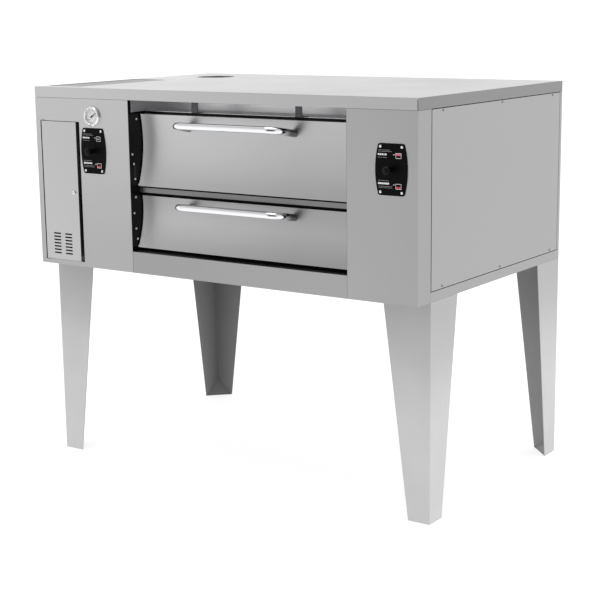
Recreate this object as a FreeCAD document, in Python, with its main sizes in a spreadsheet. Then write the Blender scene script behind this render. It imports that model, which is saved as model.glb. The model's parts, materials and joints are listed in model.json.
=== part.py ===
import FreeCAD, Part
import math
import os
import re

import Sketcher

# Gas deck pizza oven on four sheet-metal legs: one baking deck over a burner compartment.
# Frame: origin on the floor under the middle of the bounding box, +X to the right along the
# front, +Y from the front to the back, +Z up. Millimetres.

SIZES = [
    ("width", 1657, "casing, left side panel to right side panel"),
    ("height", 1429, "floor to the top cover"),
    ("front", -510, "y of the fascia's front face"),
    ("rear", 555, "y of the casing's rear edge"),
    ("sheet", 1.5, "casing sheet"),
    ("gap", 0.7, "seam between neighbouring casing panels"),
    ("seam", 2.5, "open seam around the side panels"),
    ("leg_height", 762, "standard 30 inch legs"),
    ("leg_sheet", 3, "leg plate"),
    ("leg_top", 182, "leg flange width at the top"),
    ("leg_foot", 83.5, "leg flange width at the foot"),
    ("leg_plate", 165, "side of the leg's mounting plate"),
    ("leg_web", 75, "height of the sloping web above the leg's foot"),
    ("leg_anchor", 5.5, "radius of the anchor hole in the leg's foot"),
    ("leg_bolt_near", 45, "bolt to the leg's corner, short way"),
    ("leg_bolt_far", 125, "bolt to the leg's corner, long way"),
    ("bolt_shank", 5, "radius of the leg bolts"),
    ("bolt_head", 8.5, "corner radius of the leg bolts' hexagon"),
    ("bolt_head_height", 6, "height of the leg bolts' hexagon"),
    ("flange_base", 1389.7, "lower edge of the top cover's flanges"),
    ("rail_top", 795.7, "upper edge of the bottom side rails"),
    ("rail_width", 88, "bottom side rail, across the oven"),
    ("fascia_depth", 84, "front fascia boxes, front to back"),
    ("recess", 18, "back panel set in from the rear edge"),
    ("hem", 12, "turned edges of the side panels"),
    ("opening_left", -371, "left end of the door opening"),
    ("opening_right", 561, "right end of the door opening"),
    ("opening_base", 840, "top of the lower front rail"),
    ("frame_set", 97, "face frame behind the fascia's front face"),
    ("frame_plate", 3, "face frame plate"),
    ("port_inset", 26, "door opening's end to the frame's ports"),
    ("bake_base", 1136, "lower edge of the baking port"),
    ("bake_top", 1322, "upper edge of the baking port"),
    ("fire_base", 872, "lower edge of the burner port"),
    ("fire_top", 1028, "upper edge of the burner port"),
    ("header_floor", 1345, "ledge above the upper door"),
    ("header_set", 217, "header panel behind the fascia's front face"),
    ("header_end", 12, "front edge of the header's end walls, behind the same face"),
    ("brace_set", 80, "header braces behind the fascia's front face"),
    ("brace_offset", 223.5, "header braces from the middle of the opening"),
    ("brace_width", 27, "header brace, across the oven"),
    ("mid_rail_set", 40, "rail between the doors, behind the fascia"),
    ("mid_rail_base", 1055, "lower edge of the rail between the doors"),
    ("mid_rail_top", 1073, "upper edge of the rail between the doors"),
    ("door_play", 6, "door's end to the end of the opening"),
    ("door_back", 95, "door's inner face behind the fascia's front face"),
    ("upper_top", 1337, "upper door, top edge"),
    ("upper_top_set", 62, "upper door, top edge behind the fascia"),
    ("upper_base", 1078, "upper door, lip"),
    ("upper_base_set", 39.4, "upper door, lip behind the fascia"),
    ("upper_curve", 423, "upper door, radius of the scooped face"),
    ("upper_pivot", 1082, "upper door, height of the hinge axis"),
    ("upper_pivot_set", 45, "upper door, hinge axis behind the fascia"),
    ("upper_bar", 1309, "upper door, height of the handle bar"),
    ("lower_top", 1041, "lower door, top edge"),
    ("lower_top_set", 59.7, "lower door, top edge behind the fascia"),
    ("lower_base", 854, "lower door, lip"),
    ("lower_base_set", 27.5, "lower door, lip behind the fascia"),
    ("lower_curve", 336, "lower door, radius of the scooped face"),
    ("lower_pivot", 858, "lower door, height of the hinge axis"),
    ("lower_pivot_set", 33, "lower door, hinge axis behind the fascia"),
    ("lower_bar", 1023, "lower door, height of the handle bar"),
    ("lip", 12, "door's lip, front to back"),
    ("heel", 14, "rise of the door's underside, lip to inner face"),
    ("liner_depth", 11.5, "door liner pan"),
    ("pad_depth", 19, "door insulation"),
    ("pin", 3, "radius of the door hinge pins"),
    ("pin_length", 11, "length of the door hinge pins"),
    ("fit", 0.05, "radial clearance of the running fits"),
    ("handle_length", 482, "door handle, end to end"),
    ("handle_shift", 15, "handle's middle to the left of the opening's middle"),
    ("handle_tube", 12.7, "radius of the handle tube"),
    ("handle_reach", 32.3, "handle bar's axis in front of the fascia"),
    ("handle_bend", 50, "bend radius of the handle tube"),
    ("handle_drop", 9.5, "fall of the handle's ends toward the door, degrees"),
    ("liner_left", -362, "chamber liner, left side"),
    ("liner_right", 552, "chamber liner, right side"),
    ("liner_base", 852, "chamber liner, floor"),
    ("liner_top", 1337, "chamber liner, roof"),
    ("liner_back", 971, "chamber liner's back behind the fascia"),
    ("wool", 50, "thickness of the chamber insulation"),
    ("stone", 38, "thickness of the hearth stones"),
    ("stone_top", 1134, "baking surface"),
    ("stone_set", 118, "hearth stones behind the fascia"),
    ("stone_play", 2, "joint beside the hearth stones"),
    ("bearer", 30, "height of the hearth bearers"),
    ("bearer_width", 40, "width of the hearth bearers"),
    ("burner_axis", 905, "height of the burners and the gas line"),
    ("burner", 19, "radius of the burner tubes"),
    ("burner_pitch", 310, "burner to burner"),
    ("burner_set", 132, "front end of the burners behind the fascia"),
    ("burner_end", 930, "back end of the burners behind the fascia"),
    ("manifold_set", 118, "gas manifold behind the fascia"),
    ("manifold", 11, "radius of the gas manifold"),
    ("spud", 6, "radius of the gas orifice holders"),
    ("baffle_base", 975, "lower edges of the flame baffle"),
    ("baffle_rise", 45, "rise of the flame baffle to its ridge"),
    ("baffle_width", 780, "flame baffle, across the oven"),
    ("flue_x", -609, "centre of the flue"),
    ("flue_set", 824, "centre of the flue behind the fascia"),
    ("flue", 75, "inner radius of the flue collar"),
    ("duct_front", 700, "side duct boxes behind the fascia"),
    ("duct_back", 925, "back of the side duct boxes behind the fascia"),
    ("duct_base", 1140, "floor of the side duct boxes"),
    ("duct_top", 1400, "roof of the flue box"),
    ("return_top", 1340, "roof of the right return duct"),
    ("duct_reach", 277, "side duct box, across the oven"),
    ("port_front", 790, "front edge of the side ports behind the fascia"),
    ("port_width", 60, "side ports, front to back"),
    ("port_base", 1165, "lower edge of the side ports"),
    ("port_height", 130, "height of the side ports"),
    ("damper_plate", 74, "damper plate, front to back"),
    ("damper_overlap", 7, "damper plate past the port's edge"),
    ("damper_height", 1200, "height of the damper rods"),
    ("damper_rod", 4, "radius of the damper rods"),
    ("left_rod", -542.4, "x of the left damper rod"),
    ("right_rod", 730.7, "x of the right damper rod"),
    ("panel_width", 119, "control plate, at its middle"),
    ("panel_waist", 100, "control plate, at its top and bottom"),
    ("panel_height", 167, "control plate"),
    ("panel_corner", 9, "corner radius of the control plates"),
    ("panel_thick", 3, "control plate"),
    ("panel_screw_x", 40, "control plate screws from the middle"),
    ("panel_screw_z", 73, "control plate screws from the middle"),
    ("gauge_height", 1326.6, "centre of the thermometer"),
    ("gauge", 36, "outer radius of the thermometer's bezel"),
    ("gauge_proud", 10, "bezel in front of the fascia"),
    ("gauge_can", 29, "radius of the thermometer's case"),
    ("needle_rest", 30, "thermometer needle's angle above level, at rest"),
    ("hatch_left", -806, "control compartment's opening, left"),
    ("hatch_right", -609.5, "control compartment's opening, right"),
    ("hatch_base", 779.5, "control compartment's opening, bottom"),
    ("hatch_top", 1304, "control compartment's opening, top"),
    ("hatch_play", 1.7, "compartment door's seam, top and bottom"),
    ("hatch_gap", 9, "compartment door's seam on its hinge side"),
    ("hatch_slot", 14.5, "compartment door's seam on its latch side"),
    ("hatch_proud", 4, "compartment door in front of the fascia"),
    ("hatch_thick", 16, "compartment door"),
    ("vent_columns", 2, "columns of louvre slots"),
    ("vent_rows", 7, "louvre slots in a column"),
    ("vent_left", -758, "left edge of the louvre slots"),
    ("vent_base", 803, "lowest louvre slot"),
    ("vent_width", 35, "width of a louvre slot"),
    ("vent_height", 5.5, "height of a louvre slot"),
    ("vent_step", 57, "column to column"),
    ("vent_pitch", 12.4, "row to row"),
    ("latch_x", -645, "x of the compartment latch"),
    ("latch_height", 1040, "height of the compartment latch"),
    ("latch", 7, "radius of the latch knob"),
    ("latch_shaft", 3, "radius of the latch shaft"),
    ("cam", 45, "latch shaft to the tip of the cam"),
    ("cam_width", 12, "width of the latch cam"),
    ("hinge_pin", 2, "radius of the compartment hinge pins"),
    ("box_depth", 170, "control box behind the fascia"),
    ("box_margin", 5, "control box past the compartment's opening"),
    ("latch_room", 12.5, "control box past the opening on the latch side"),
    ("dial_x", -700, "x of the thermostat and the gas valve"),
    ("dial_height", 1180, "height of the thermostat"),
    ("dial", 28, "radius of the thermostat dial"),
    ("shaft", 3, "radius of the control shafts"),
    ("valve_length", 70, "gas valve body, across the oven"),
    ("valve_depth", 46, "gas valve body, front to back"),
    ("valve_height", 50, "gas valve body"),
    ("valve_set", 95, "gas valve body behind the fascia"),
    ("valve_knob", 17, "radius of the gas valve knob"),
    ("pipe", 13.35, "outer radius of the 3/4 inch gas pipe"),
    ("pipe_bore", 10.5, "inner radius of the gas pipe"),
    ("thread", 12.95, "radius of the gas pipe's threaded end"),
    ("thread_length", 14, "length of the gas pipe's threaded end"),
    ("hatchway_right", -648, "top access opening, right edge"),
    ("hatchway_left", -812, "top access opening, left edge"),
    ("hatchway_front", 52, "top access opening behind the fascia"),
    ("hatchway_back", 556, "top access opening's back edge behind the fascia"),
    ("screw_head", 4.5, "radius of the casing screws' heads"),
    ("screw_shank", 2, "radius of the casing screws' shanks"),
    ("screw_proud", 1.6, "height of the casing screws' heads"),
    ("screw_length", 8, "length of the casing screws' shanks"),
]
ALIASES = {name for name, value, note in SIZES}

OPENING_MIDDLE = "(opening_left + opening_right) / 2"
SIDE = "width / 2"

# Screws in the side panels, y behind the fascia and z.
SIDE_SCREWS = [(160, 1381), (577, 1381), (982, 1381), (160, 806), (577, 806), (982, 806)]
# Screws in the door jambs, y behind the fascia and z.
JAMB_SCREWS = [
    (44, 1320), (16, 1194), (23, 1159), (27, 1104), (27, 1038), (16, 980), (23, 923), (30, 884),
]
# Screws beside the top access opening, x and y behind the fascia.
TOP_SCREWS = [(-636, 402), (-636, 110)]

TURN = {
    "z": FreeCAD.Rotation(),
    "-z": FreeCAD.Rotation(FreeCAD.Vector(1, 0, 0), 180),
    "-y": FreeCAD.Rotation(FreeCAD.Vector(1, 0, 0), 90),
    "y": FreeCAD.Rotation(FreeCAD.Vector(1, 0, 0), -90),
    "x": FreeCAD.Rotation(FreeCAD.Vector(0, 1, 0), 90),
    "-x": FreeCAD.Rotation(FreeCAD.Vector(0, 1, 0), -90),
}

doc = FreeCAD.newDocument("deck_oven")
sheet = doc.addObject("Spreadsheet::Sheet", "dims")
nodes = []


def fill_sheet():
    """Writes every driving dimension to the spreadsheet, one named row each."""
    for row, (name, value, note) in enumerate(SIZES, start=1):
        sheet.set(f"A{row}", name)
        sheet.set(f"B{row}", str(value))
        sheet.set(f"C{row}", note)
        sheet.setAlias(f"B{row}", name)
    doc.recompute()


def formula(text):
    """Turns the size names in a formula into references to the spreadsheet."""
    return re.sub(r"[a-z_]+", lambda m: "dims." + m[0] if m[0] in ALIASES else m[0], str(text))


def number(text):
    """The present value of a formula."""
    return float(doc.getObject("dims").evalExpression(formula(text)))


def bind(thing, prop, text):
    thing.setExpression(prop, formula(text))


def place(thing, at, turn="z"):
    """Turns a piece so that its own Z points along an axis, and binds where it stands."""
    thing.Placement = FreeCAD.Placement(FreeCAD.Vector(*map(number, at)), TURN[turn])
    for axis, text in zip("xyz", at):
        bind(thing, "Placement.Base." + axis, text)


def keep(node):
    """Marks a piece as one of the oven's sub-parts."""
    nodes.append(node)
    return node


# Building blocks ---------------------------------------------------------------------------


def block(name, low, high):
    """A rectangular block between two corners."""
    box = doc.addObject("Part::Box", name)
    for prop, a, b in zip(("Length", "Width", "Height"), low, high):
        bind(box, prop, f"({b}) - ({a})")
    place(box, low)
    return box


def drum(name, radius, length, at, turn="z"):
    cylinder = doc.addObject("Part::Cylinder", name)
    bind(cylinder, "Radius", radius)
    bind(cylinder, "Height", length)
    place(cylinder, at, turn)
    return cylinder


def cut(name, base, tools):
    """Cuts the tools out of the base, one after the other."""
    for i, tool in enumerate(tools):
        last = i == len(tools) - 1
        result = doc.addObject("Part::Cut", name if last else f"{name}_step_{i}")
        result.Base = base
        result.Tool = tool
        base = result
    return base


def fuse(name, pieces):
    result = doc.addObject("Part::MultiFuse", name)
    result.Shapes = pieces
    return result


def group(name, pieces):
    """Separate solids that share one sub-part."""
    result = doc.addObject("Part::Compound", name)
    result.Links = pieces
    return result


def tray(name, low, high, wall, opening):
    """A folded sheet box with five walls; opening is the side without one, such as -y."""
    axis = "xyz".index(opening[-1])
    inner_low = [f"({a}) + ({wall})" for a in low]
    inner_high = [f"({b}) - ({wall})" for b in high]
    if opening.startswith("-"):
        inner_low[axis] = f"({low[axis]}) - 1"
    else:
        inner_high[axis] = f"({high[axis]}) + 1"
    outer = block(name + "_blank", low, high)
    return cut(name, outer, [block(name + "_hollow", inner_low, inner_high)])


def new_body(name, at=("0", "0", "0"), turn="z"):
    body = doc.addObject("PartDesign::Body", name)
    place(body, at, turn)
    return body


def arc_between(start, end, radius):
    """A circle's arc; it bulges to the left of the way from start to end if radius is positive."""
    chord = end - start
    half = chord.Length / 2
    left = FreeCAD.Vector(-chord.y, chord.x, 0).normalize()
    sagitta = abs(radius) - math.sqrt(radius * radius - half * half)
    crest = (start + end) / 2 + left * math.copysign(sagitta, radius)
    return Part.ArcOfCircle(start, crest, end)


def lay_on(sketch, body, role):
    """Attaches a sketch to one of its own body's origin planes."""
    plane = next(f for f in body.Origin.OriginFeatures if f.Role == role)
    sketch.AttachmentSupport = [(plane, "")]
    sketch.MapMode = "FlatFace"


def outline(body, role, corners, arcs=None):
    """A closed sketch whose corners are pairs of formulas; arcs gives some sides a radius."""
    sketch = body.newObject("Sketcher::SketchObject", body.Name + "_outline")
    lay_on(sketch, body, role)
    points = [FreeCAD.Vector(number(u), number(v), 0) for u, v in corners]
    arcs = arcs or {}
    count = len(points)
    for i in range(count):
        start, end = points[i], points[(i + 1) % count]
        if i in arcs:
            sketch.addGeometry(arc_between(start, end, number(arcs[i])))
        else:
            sketch.addGeometry(Part.LineSegment(start, end))
    # An arc drawn clockwise starts at its far end.
    ends = []
    for i in range(count):
        swapped = i in arcs and (sketch.getPoint(i, 1) - points[i]).Length > 1e-6
        ends.append((2, 1) if swapped else (1, 2))
    for i in range(count):
        j = (i + 1) % count
        sketch.addConstraint(Sketcher.Constraint("Coincident", i, ends[i][1], j, ends[j][0]))
    for i, (u, v) in enumerate(corners):
        for kind, text, value in (("DistanceX", u, points[i].x), ("DistanceY", v, points[i].y)):
            c = sketch.addConstraint(Sketcher.Constraint(kind, -1, 1, i, ends[i][0], value))
            bind(sketch, f"Constraints[{c}]", text)
    for i, radius in arcs.items():
        c = sketch.addConstraint(Sketcher.Constraint("Radius", i, abs(number(radius))))
        bind(sketch, f"Constraints[{c}]", f"abs({radius})")
    return sketch


def slab(name, role, corners, length, at=("0", "0", "0"), turn="z", arcs=None):
    """An outline padded along its plane's normal."""
    body = new_body(name, at, turn)
    sketch = outline(body, role, corners, arcs)
    pad = body.newObject("PartDesign::Pad", name + "_pad")
    pad.Profile = sketch
    bind(pad, "Length", length)
    return body


def turned(name, corners, at, turn="z", arcs=None):
    """A turned piece: corners are pairs of radius and distance along the axis."""
    body = new_body(name, at, turn)
    sketch = outline(body, "XZ_Plane", corners, arcs)
    revolution = body.newObject("PartDesign::Revolution", name + "_revolution")
    revolution.Profile = sketch
    revolution.ReferenceAxis = (sketch, ["V_Axis"])
    revolution.Angle = 360
    return body


def disc_corners(radius, low, high, chamfer):
    """The half section of a disc with a chamfer round its front edge."""
    return [
        ("0", low),
        (radius, low),
        (radius, f"({high}) - ({chamfer})"),
        (f"({radius}) - ({chamfer})", high),
        ("0", high),
    ]


def screw(name, at, turn, length="screw_length"):
    """A pan head screw; at is the surface under its head, turn points out of it."""
    head = doc.addObject("Part::Cone", name + "_head")
    bind(head, "Radius1", "screw_head")
    bind(head, "Radius2", "screw_head * 0.7")
    bind(head, "Height", "screw_proud")
    place(head, at, turn)
    inward = turn[1:] if turn.startswith("-") else "-" + turn
    return fuse(name, [head, drum(name + "_shank", "screw_shank", length, at, inward)])


def countersink(name, x, y, clearance):
    """The cone of a countersunk head, flush with the lid."""
    cone = doc.addObject("Part::Cone", name)
    bind(cone, "Radius1", f"screw_shank + {clearance}")
    bind(cone, "Radius2", f"screw_head + {clearance}")
    bind(cone, "Height", "sheet")
    place(cone, (str(x), f"front + {y}", "height - sheet"))
    return cone


def screw_hole(name, at, turn):
    """The clearance hole that a screw's shank passes through."""
    back = {"x": 0, "y": 1, "z": 2}[turn[-1]]
    sign = "+" if turn.startswith("-") else "-"
    start = list(at)
    start[back] = f"({at[back]}) {sign} 3 * sheet"
    return drum(name, "screw_shank + 0.2", "6 * sheet", start, turn)


# Casing ------------------------------------------------------------------------------------


def top_cover():
    """The lid with its turned-down flanges, the flue hole and the access opening."""
    low = (f"-{SIDE}", "front", "flange_base")
    high = (SIDE, "rear", "height")
    lid = tray("top_cover_tray", low, high, "sheet", "-z")
    flue = drum(
        "top_cover_flue", "flue + 2 * sheet", "6 * sheet",
        ("flue_x", "front + flue_set", "height - 3 * sheet"),
    )
    access = block(
        "top_cover_access",
        ("hatchway_left", "front + hatchway_front", "height - 3 * sheet"),
        ("hatchway_right", "front + hatchway_back", "height + 1"),
    )
    relief = block(
        "top_cover_relief",
        (f"{SIDE} - 2 * sheet", "front - 1", "flange_base - 1"),
        (f"{SIDE} - sheet", "front + sheet", "height - 4 * sheet"),
    )
    sinks = [
        countersink(f"top_cover_sink_{i}", x, y, "0.1") for i, (x, y) in enumerate(TOP_SCREWS)
    ]
    keep(cut("top_cover", lid, [flue, access, relief] + sinks))


def top_left_cover():
    """The access cover, let in under the lid above the control compartment."""
    margin = 14
    low = ("hatchway_left - 10", f"front + hatchway_front - {margin}", "height - 2 * sheet")
    high = ("hatchway_right + 20", f"front + hatchway_back + {margin}", "height - sheet")
    plate = block("top_left_cover_plate", low, high)
    holes = [
        screw_hole(f"top_left_cover_hole_{i}", (str(x), f"front + {y}", "height"), "z")
        for i, (x, y) in enumerate(TOP_SCREWS)
    ]
    keep(cut("top_left_cover", plate, holes))


def side_panel(side, sign):
    """One side of the casing: a shallow pan, open towards the inside."""
    name = side + "_side_panel"
    near, far = f"{SIDE} - hem", SIDE
    if sign < 0:
        near, far = f"-{SIDE}", f"-({SIDE} - hem)"
    low = (near, "front + fascia_depth + 4", "rail_top + seam")
    high = (far, "rear - recess - seam", "flange_base - seam")
    pan = tray(name + "_pan", low, high, "sheet", "-x" if sign > 0 else "x")
    face = SIDE if sign > 0 else f"-{SIDE}"
    turn = "x" if sign > 0 else "-x"
    holes = [
        screw_hole(f"{name}_hole_{i}", (face, f"front + {y}", str(z)), turn)
        for i, (y, z) in enumerate(SIDE_SCREWS)
    ]
    keep(cut(name, pan, holes))


def casing_screws():
    """The screws of both side panels and of the top cover."""
    screws = []
    for side, face, turn in (("left", f"-{SIDE}", "-x"), ("right", SIDE, "x")):
        for i, (y, z) in enumerate(SIDE_SCREWS):
            screws.append(screw(f"{side}_screw_{i}", (face, f"front + {y}", str(z)), turn))
    for i, (x, y) in enumerate(TOP_SCREWS):
        under = (str(x), f"front + {y}", "height - sheet")
        shank = drum(f"top_screw_shank_{i}", "screw_shank", "screw_length", under, "-z")
        screws.append(fuse(f"top_screw_{i}", [countersink(f"top_screw_head_{i}", x, y, "0"), shank]))
    keep(group("casing_screws", screws))


def bottom_rail(side, sign):
    """The folded rail along one side that carries the casing on its legs."""
    near, far = f"{SIDE} - rail_width", SIDE
    if sign < 0:
        near, far = f"-{SIDE}", f"-({SIDE} - rail_width)"
    low = (near, "front + fascia_depth + gap", "leg_height")
    high = (far, "rear", "rail_top")
    opening = "-x" if sign > 0 else "x"
    channel = tray(f"{side}_rail_channel", low, high, "sheet", opening)
    holes = [leg_bolt_hole(f"{side}_rail_hole_{i}", at) for i, at in enumerate(leg_bolts_at(sign))]
    keep(cut(side + "_bottom_rail", channel, holes))


def bottom_pan():
    """The sheet floor of the casing, between the side rails."""
    low = (f"-({SIDE} - rail_width - gap)", "front + frame_set + 1", "leg_height")
    high = (f"{SIDE} - rail_width - gap", "rear - recess - 2 * gap", "rail_top")
    pan = tray("bottom_pan_tray", low, high, "sheet", "z")
    places = leg_bolts_at(-1) + leg_bolts_at(1)
    holes = [leg_bolt_hole(f"bottom_pan_hole_{i}", at) for i, at in enumerate(places)]
    keep(cut("bottom_pan", pan, holes))


def back_panel():
    """The back, set in from the rear edge behind its own side flanges."""
    low = (f"-{SIDE}", "rear - recess", "rail_top + gap")
    high = (SIDE, "rear", "flange_base - gap")
    pan = tray("back_panel_pan", low, high, "sheet", "y")
    passage = drum(
        "back_panel_passage", "pipe + 1", "6 * sheet",
        ("dial_x", "rear - recess - 2 * sheet", "burner_axis"), "y",
    )
    keep(cut("back_panel", pan, [passage]))


def left_fascia():
    """The control side of the front: compartment opening, thermometer and damper holes."""
    low = (f"-{SIDE}", "front", "leg_height")
    high = ("opening_left", "front + fascia_depth", "flange_base - gap")
    box = tray("left_fascia_box", low, high, "sheet", "y")
    hatch = block(
        "left_fascia_hatch",
        ("hatch_left", "front - 1", "hatch_base"),
        ("hatch_right", "front + 2 * sheet", "hatch_top"),
    )
    gauge = drum(
        "left_fascia_gauge", "gauge_can + 0.5", "4 * sheet",
        ("left_rod", "front - sheet", "gauge_height"), "y",
    )
    rod = rod_passage("left_fascia_rod", "left_rod", "front - sheet")
    tools = [hatch, gauge, rod] + panel_holes("left", "left_rod")
    tools += pivot_bores("left_fascia", "opening_left - 2 * sheet")
    pierced = cut("left_fascia_pierced", box, tools)
    ears, bores = hinge_ears()
    keep(cut("left_fascia", fuse("left_fascia_eared", [pierced] + ears), bores))


def right_fascia():
    low = ("opening_right", "front", "leg_height")
    high = (SIDE, "front + fascia_depth", "flange_base - gap")
    box = tray("right_fascia_box", low, high, "sheet", "y")
    rod = rod_passage("right_fascia_rod", "right_rod", "front - sheet")
    tools = [rod] + panel_holes("right", "right_rod")
    tools += pivot_bores("right_fascia", "opening_right - sheet")
    keep(cut("right_fascia", box, tools))


def pivot_bores(name, x):
    """The running bores of both doors' hinge pins."""
    bores = []
    for door in ("upper", "lower"):
        at = (x, f"front + {door}_pivot_set", f"{door}_pivot")
        bores.append(drum(f"{name}_{door}_pivot", "pin + fit", "3 * sheet", at, "x"))
    return bores


def lower_front_rail():
    """The rail under the lower door, folded back to the face frame."""
    low = ("opening_left + gap", "front", "leg_height")
    high = ("opening_right - gap", "front + frame_set", "opening_base")
    keep(tray("lower_front_rail", low, high, "sheet", "y"))


def header():
    """The recess above the upper door, and the braces in front of its back panel."""
    ledge = block(
        "header_ledge",
        ("opening_left + 2 * sheet", "front + frame_set", "header_floor"),
        ("opening_right - 2 * sheet", "front + header_set", "header_floor + sheet"),
    )
    upright = block(
        "header_upright",
        ("opening_left + 2 * sheet", "front + header_set - sheet", "header_floor + sheet"),
        ("opening_right - 2 * sheet", "front + header_set", "flange_base + 30"),
    )
    ends = []
    for side, near in (("left", "opening_left + 2 * sheet"), ("right", "opening_right - 3 * sheet")):
        low = (near, "front + header_end", "header_floor + sheet")
        high = (f"{near} + sheet", "front + header_set", "flange_base + 30")
        ends.append(block(f"header_{side}_end", low, high))
    keep(fuse("header_panel", [ledge, upright] + ends))
    braces = []
    for i, sign in enumerate((-1, 1)):
        middle = f"({OPENING_MIDDLE} + {sign} * brace_offset)"
        web = block(
            f"brace_web_{i}",
            (f"{middle} - brace_width / 2", "front + brace_set", "header_floor + 2 * sheet"),
            (f"{middle} + brace_width / 2", "front + brace_set + 2 * sheet", "height - sheet"),
        )
        foot = block(
            f"brace_foot_{i}",
            (f"{middle} - brace_width / 2", "front + brace_set", "header_floor + sheet"),
            (f"{middle} + brace_width / 2", "front + frame_set + 25", "header_floor + 2 * sheet"),
        )
        braces.append(fuse(f"header_brace_{i}", [web, foot]))
    keep(group("header_braces", braces))


def jamb(side, sign):
    """The black side wall of the door opening; it carries the doors' hinge pins."""
    name = side + "_jamb"
    near, far = "opening_left", "opening_left + sheet"
    if sign > 0:
        near, far = "opening_right - sheet", "opening_right"
    plate = block(
        name + "_plate",
        (near, "front + sheet", "opening_base + gap"),
        (far, "front + frame_set", "flange_base - gap"),
    )
    holes = pivot_bores(name, f"({near}) - sheet")
    for i, (y, z) in enumerate(JAMB_SCREWS):
        at = (f"({near}) - 1", f"front + {y}", str(z))
        holes.append(drum(f"{name}_hole_{i}", "screw_shank + 0.2", "sheet + 2", at, "x"))
    keep(cut(name, plate, holes))


def jamb_screws():
    """The bright screws of both jambs; their shanks end inside the jamb."""
    screws = []
    for side, face, turn in (
        ("left", "opening_left + sheet", "x"),
        ("right", "opening_right - sheet", "-x"),
    ):
        for i, (y, z) in enumerate(JAMB_SCREWS):
            at = (face, f"front + {y}", str(z))
            screws.append(screw(f"{side}_jamb_screw_{i}", at, turn, "sheet"))
    keep(group("jamb_screws", screws))


def mid_rail():
    """The fixed rail between the two doors."""
    low = ("opening_left + 2 * sheet", "front + mid_rail_set", "mid_rail_base")
    high = ("opening_right - 2 * sheet", "front + frame_set", "mid_rail_top")
    keep(tray("mid_rail", low, high, "sheet", "y"))


def face_frame():
    """The plate that the doors close against, with a port for the deck and for the burners."""
    low = ("opening_left + 2 * sheet", "front + frame_set", "opening_base + gap")
    high = ("opening_right - 2 * sheet", "front + frame_set + frame_plate", "header_floor - gap")
    plate = block("face_frame_plate", low, high)
    ports = []
    for name, base, top in (("bake", "bake_base", "bake_top"), ("fire", "fire_base", "fire_top")):
        ports.append(
            block(
                f"face_frame_{name}_port",
                ("opening_left + port_inset", "front + frame_set - 1", base),
                ("opening_right - port_inset", "front + frame_set + frame_plate + 1", top),
            )
        )
    keep(cut("face_frame", plate, ports))


# Doors -------------------------------------------------------------------------------------


def door_outline(door, inset):
    """The section of a door: scooped face, lip, rising underside, back and top."""
    back = "front + door_back + 2" if inset != "0" else "front + door_back"
    return [
        (f"front + {door}_top_set + {inset}", f"{door}_top - {inset}"),
        (f"front + {door}_base_set + {inset}", f"{door}_base + {inset}"),
        (f"front + {door}_base_set + lip", f"{door}_base + {inset}"),
        (back, f"{door}_base + heel + {inset}"),
        (back, f"{door}_top - {inset}"),
    ]


def door_skin(door):
    """The door's formed steel front with its ends, open at the back, and its hinge pins."""
    left = "opening_left + door_play"
    span = "opening_right - opening_left - 2 * door_play"
    outer = slab(
        f"{door}_skin_blank", "YZ_Plane", door_outline(door, "0"), span,
        (left, "0", "0"), arcs={0: f"{door}_curve"},
    )
    inner = slab(
        f"{door}_skin_hollow", "YZ_Plane", door_outline(door, "sheet"), f"{span} - 2 * sheet",
        (f"{left} + sheet", "0", "0"), arcs={0: f"{door}_curve + sheet"},
    )
    shell = cut(f"{door}_skin_shell", outer, [inner])
    pins = []
    for side, start in (("left", f"{left} - pin_length"), ("right", "opening_right - door_play")):
        at = (start, f"front + {door}_pivot_set", f"{door}_pivot")
        pins.append(drum(f"{door}_{side}_pin", "pin", "pin_length", at, "x"))
    keep(fuse(f"{door}_door_skin", [shell] + pins))


def door_liner(door):
    """The pan that closes the back of a door."""
    edge = "door_play + sheet + 0.2"
    low = (f"opening_left + {edge}", "front + door_back - liner_depth", f"{door}_base + heel + 4")
    high = (f"opening_right - ({edge})", "front + door_back", f"{door}_top - sheet - 0.2")
    keep(tray(f"{door}_door_liner", low, high, "sheet", "-y"))


def door_insulation(door):
    edge = "door_play + 2 * sheet + 0.4"
    back = "front + door_back - sheet"
    low = (f"opening_left + {edge}", f"{back} - pad_depth", f"{door}_base + heel + 4 + sheet + 0.2")
    high = (f"opening_right - ({edge})", back, f"{door}_top - 2 * sheet - 0.4")
    keep(block(f"{door}_door_insulation", low, high))


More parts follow.
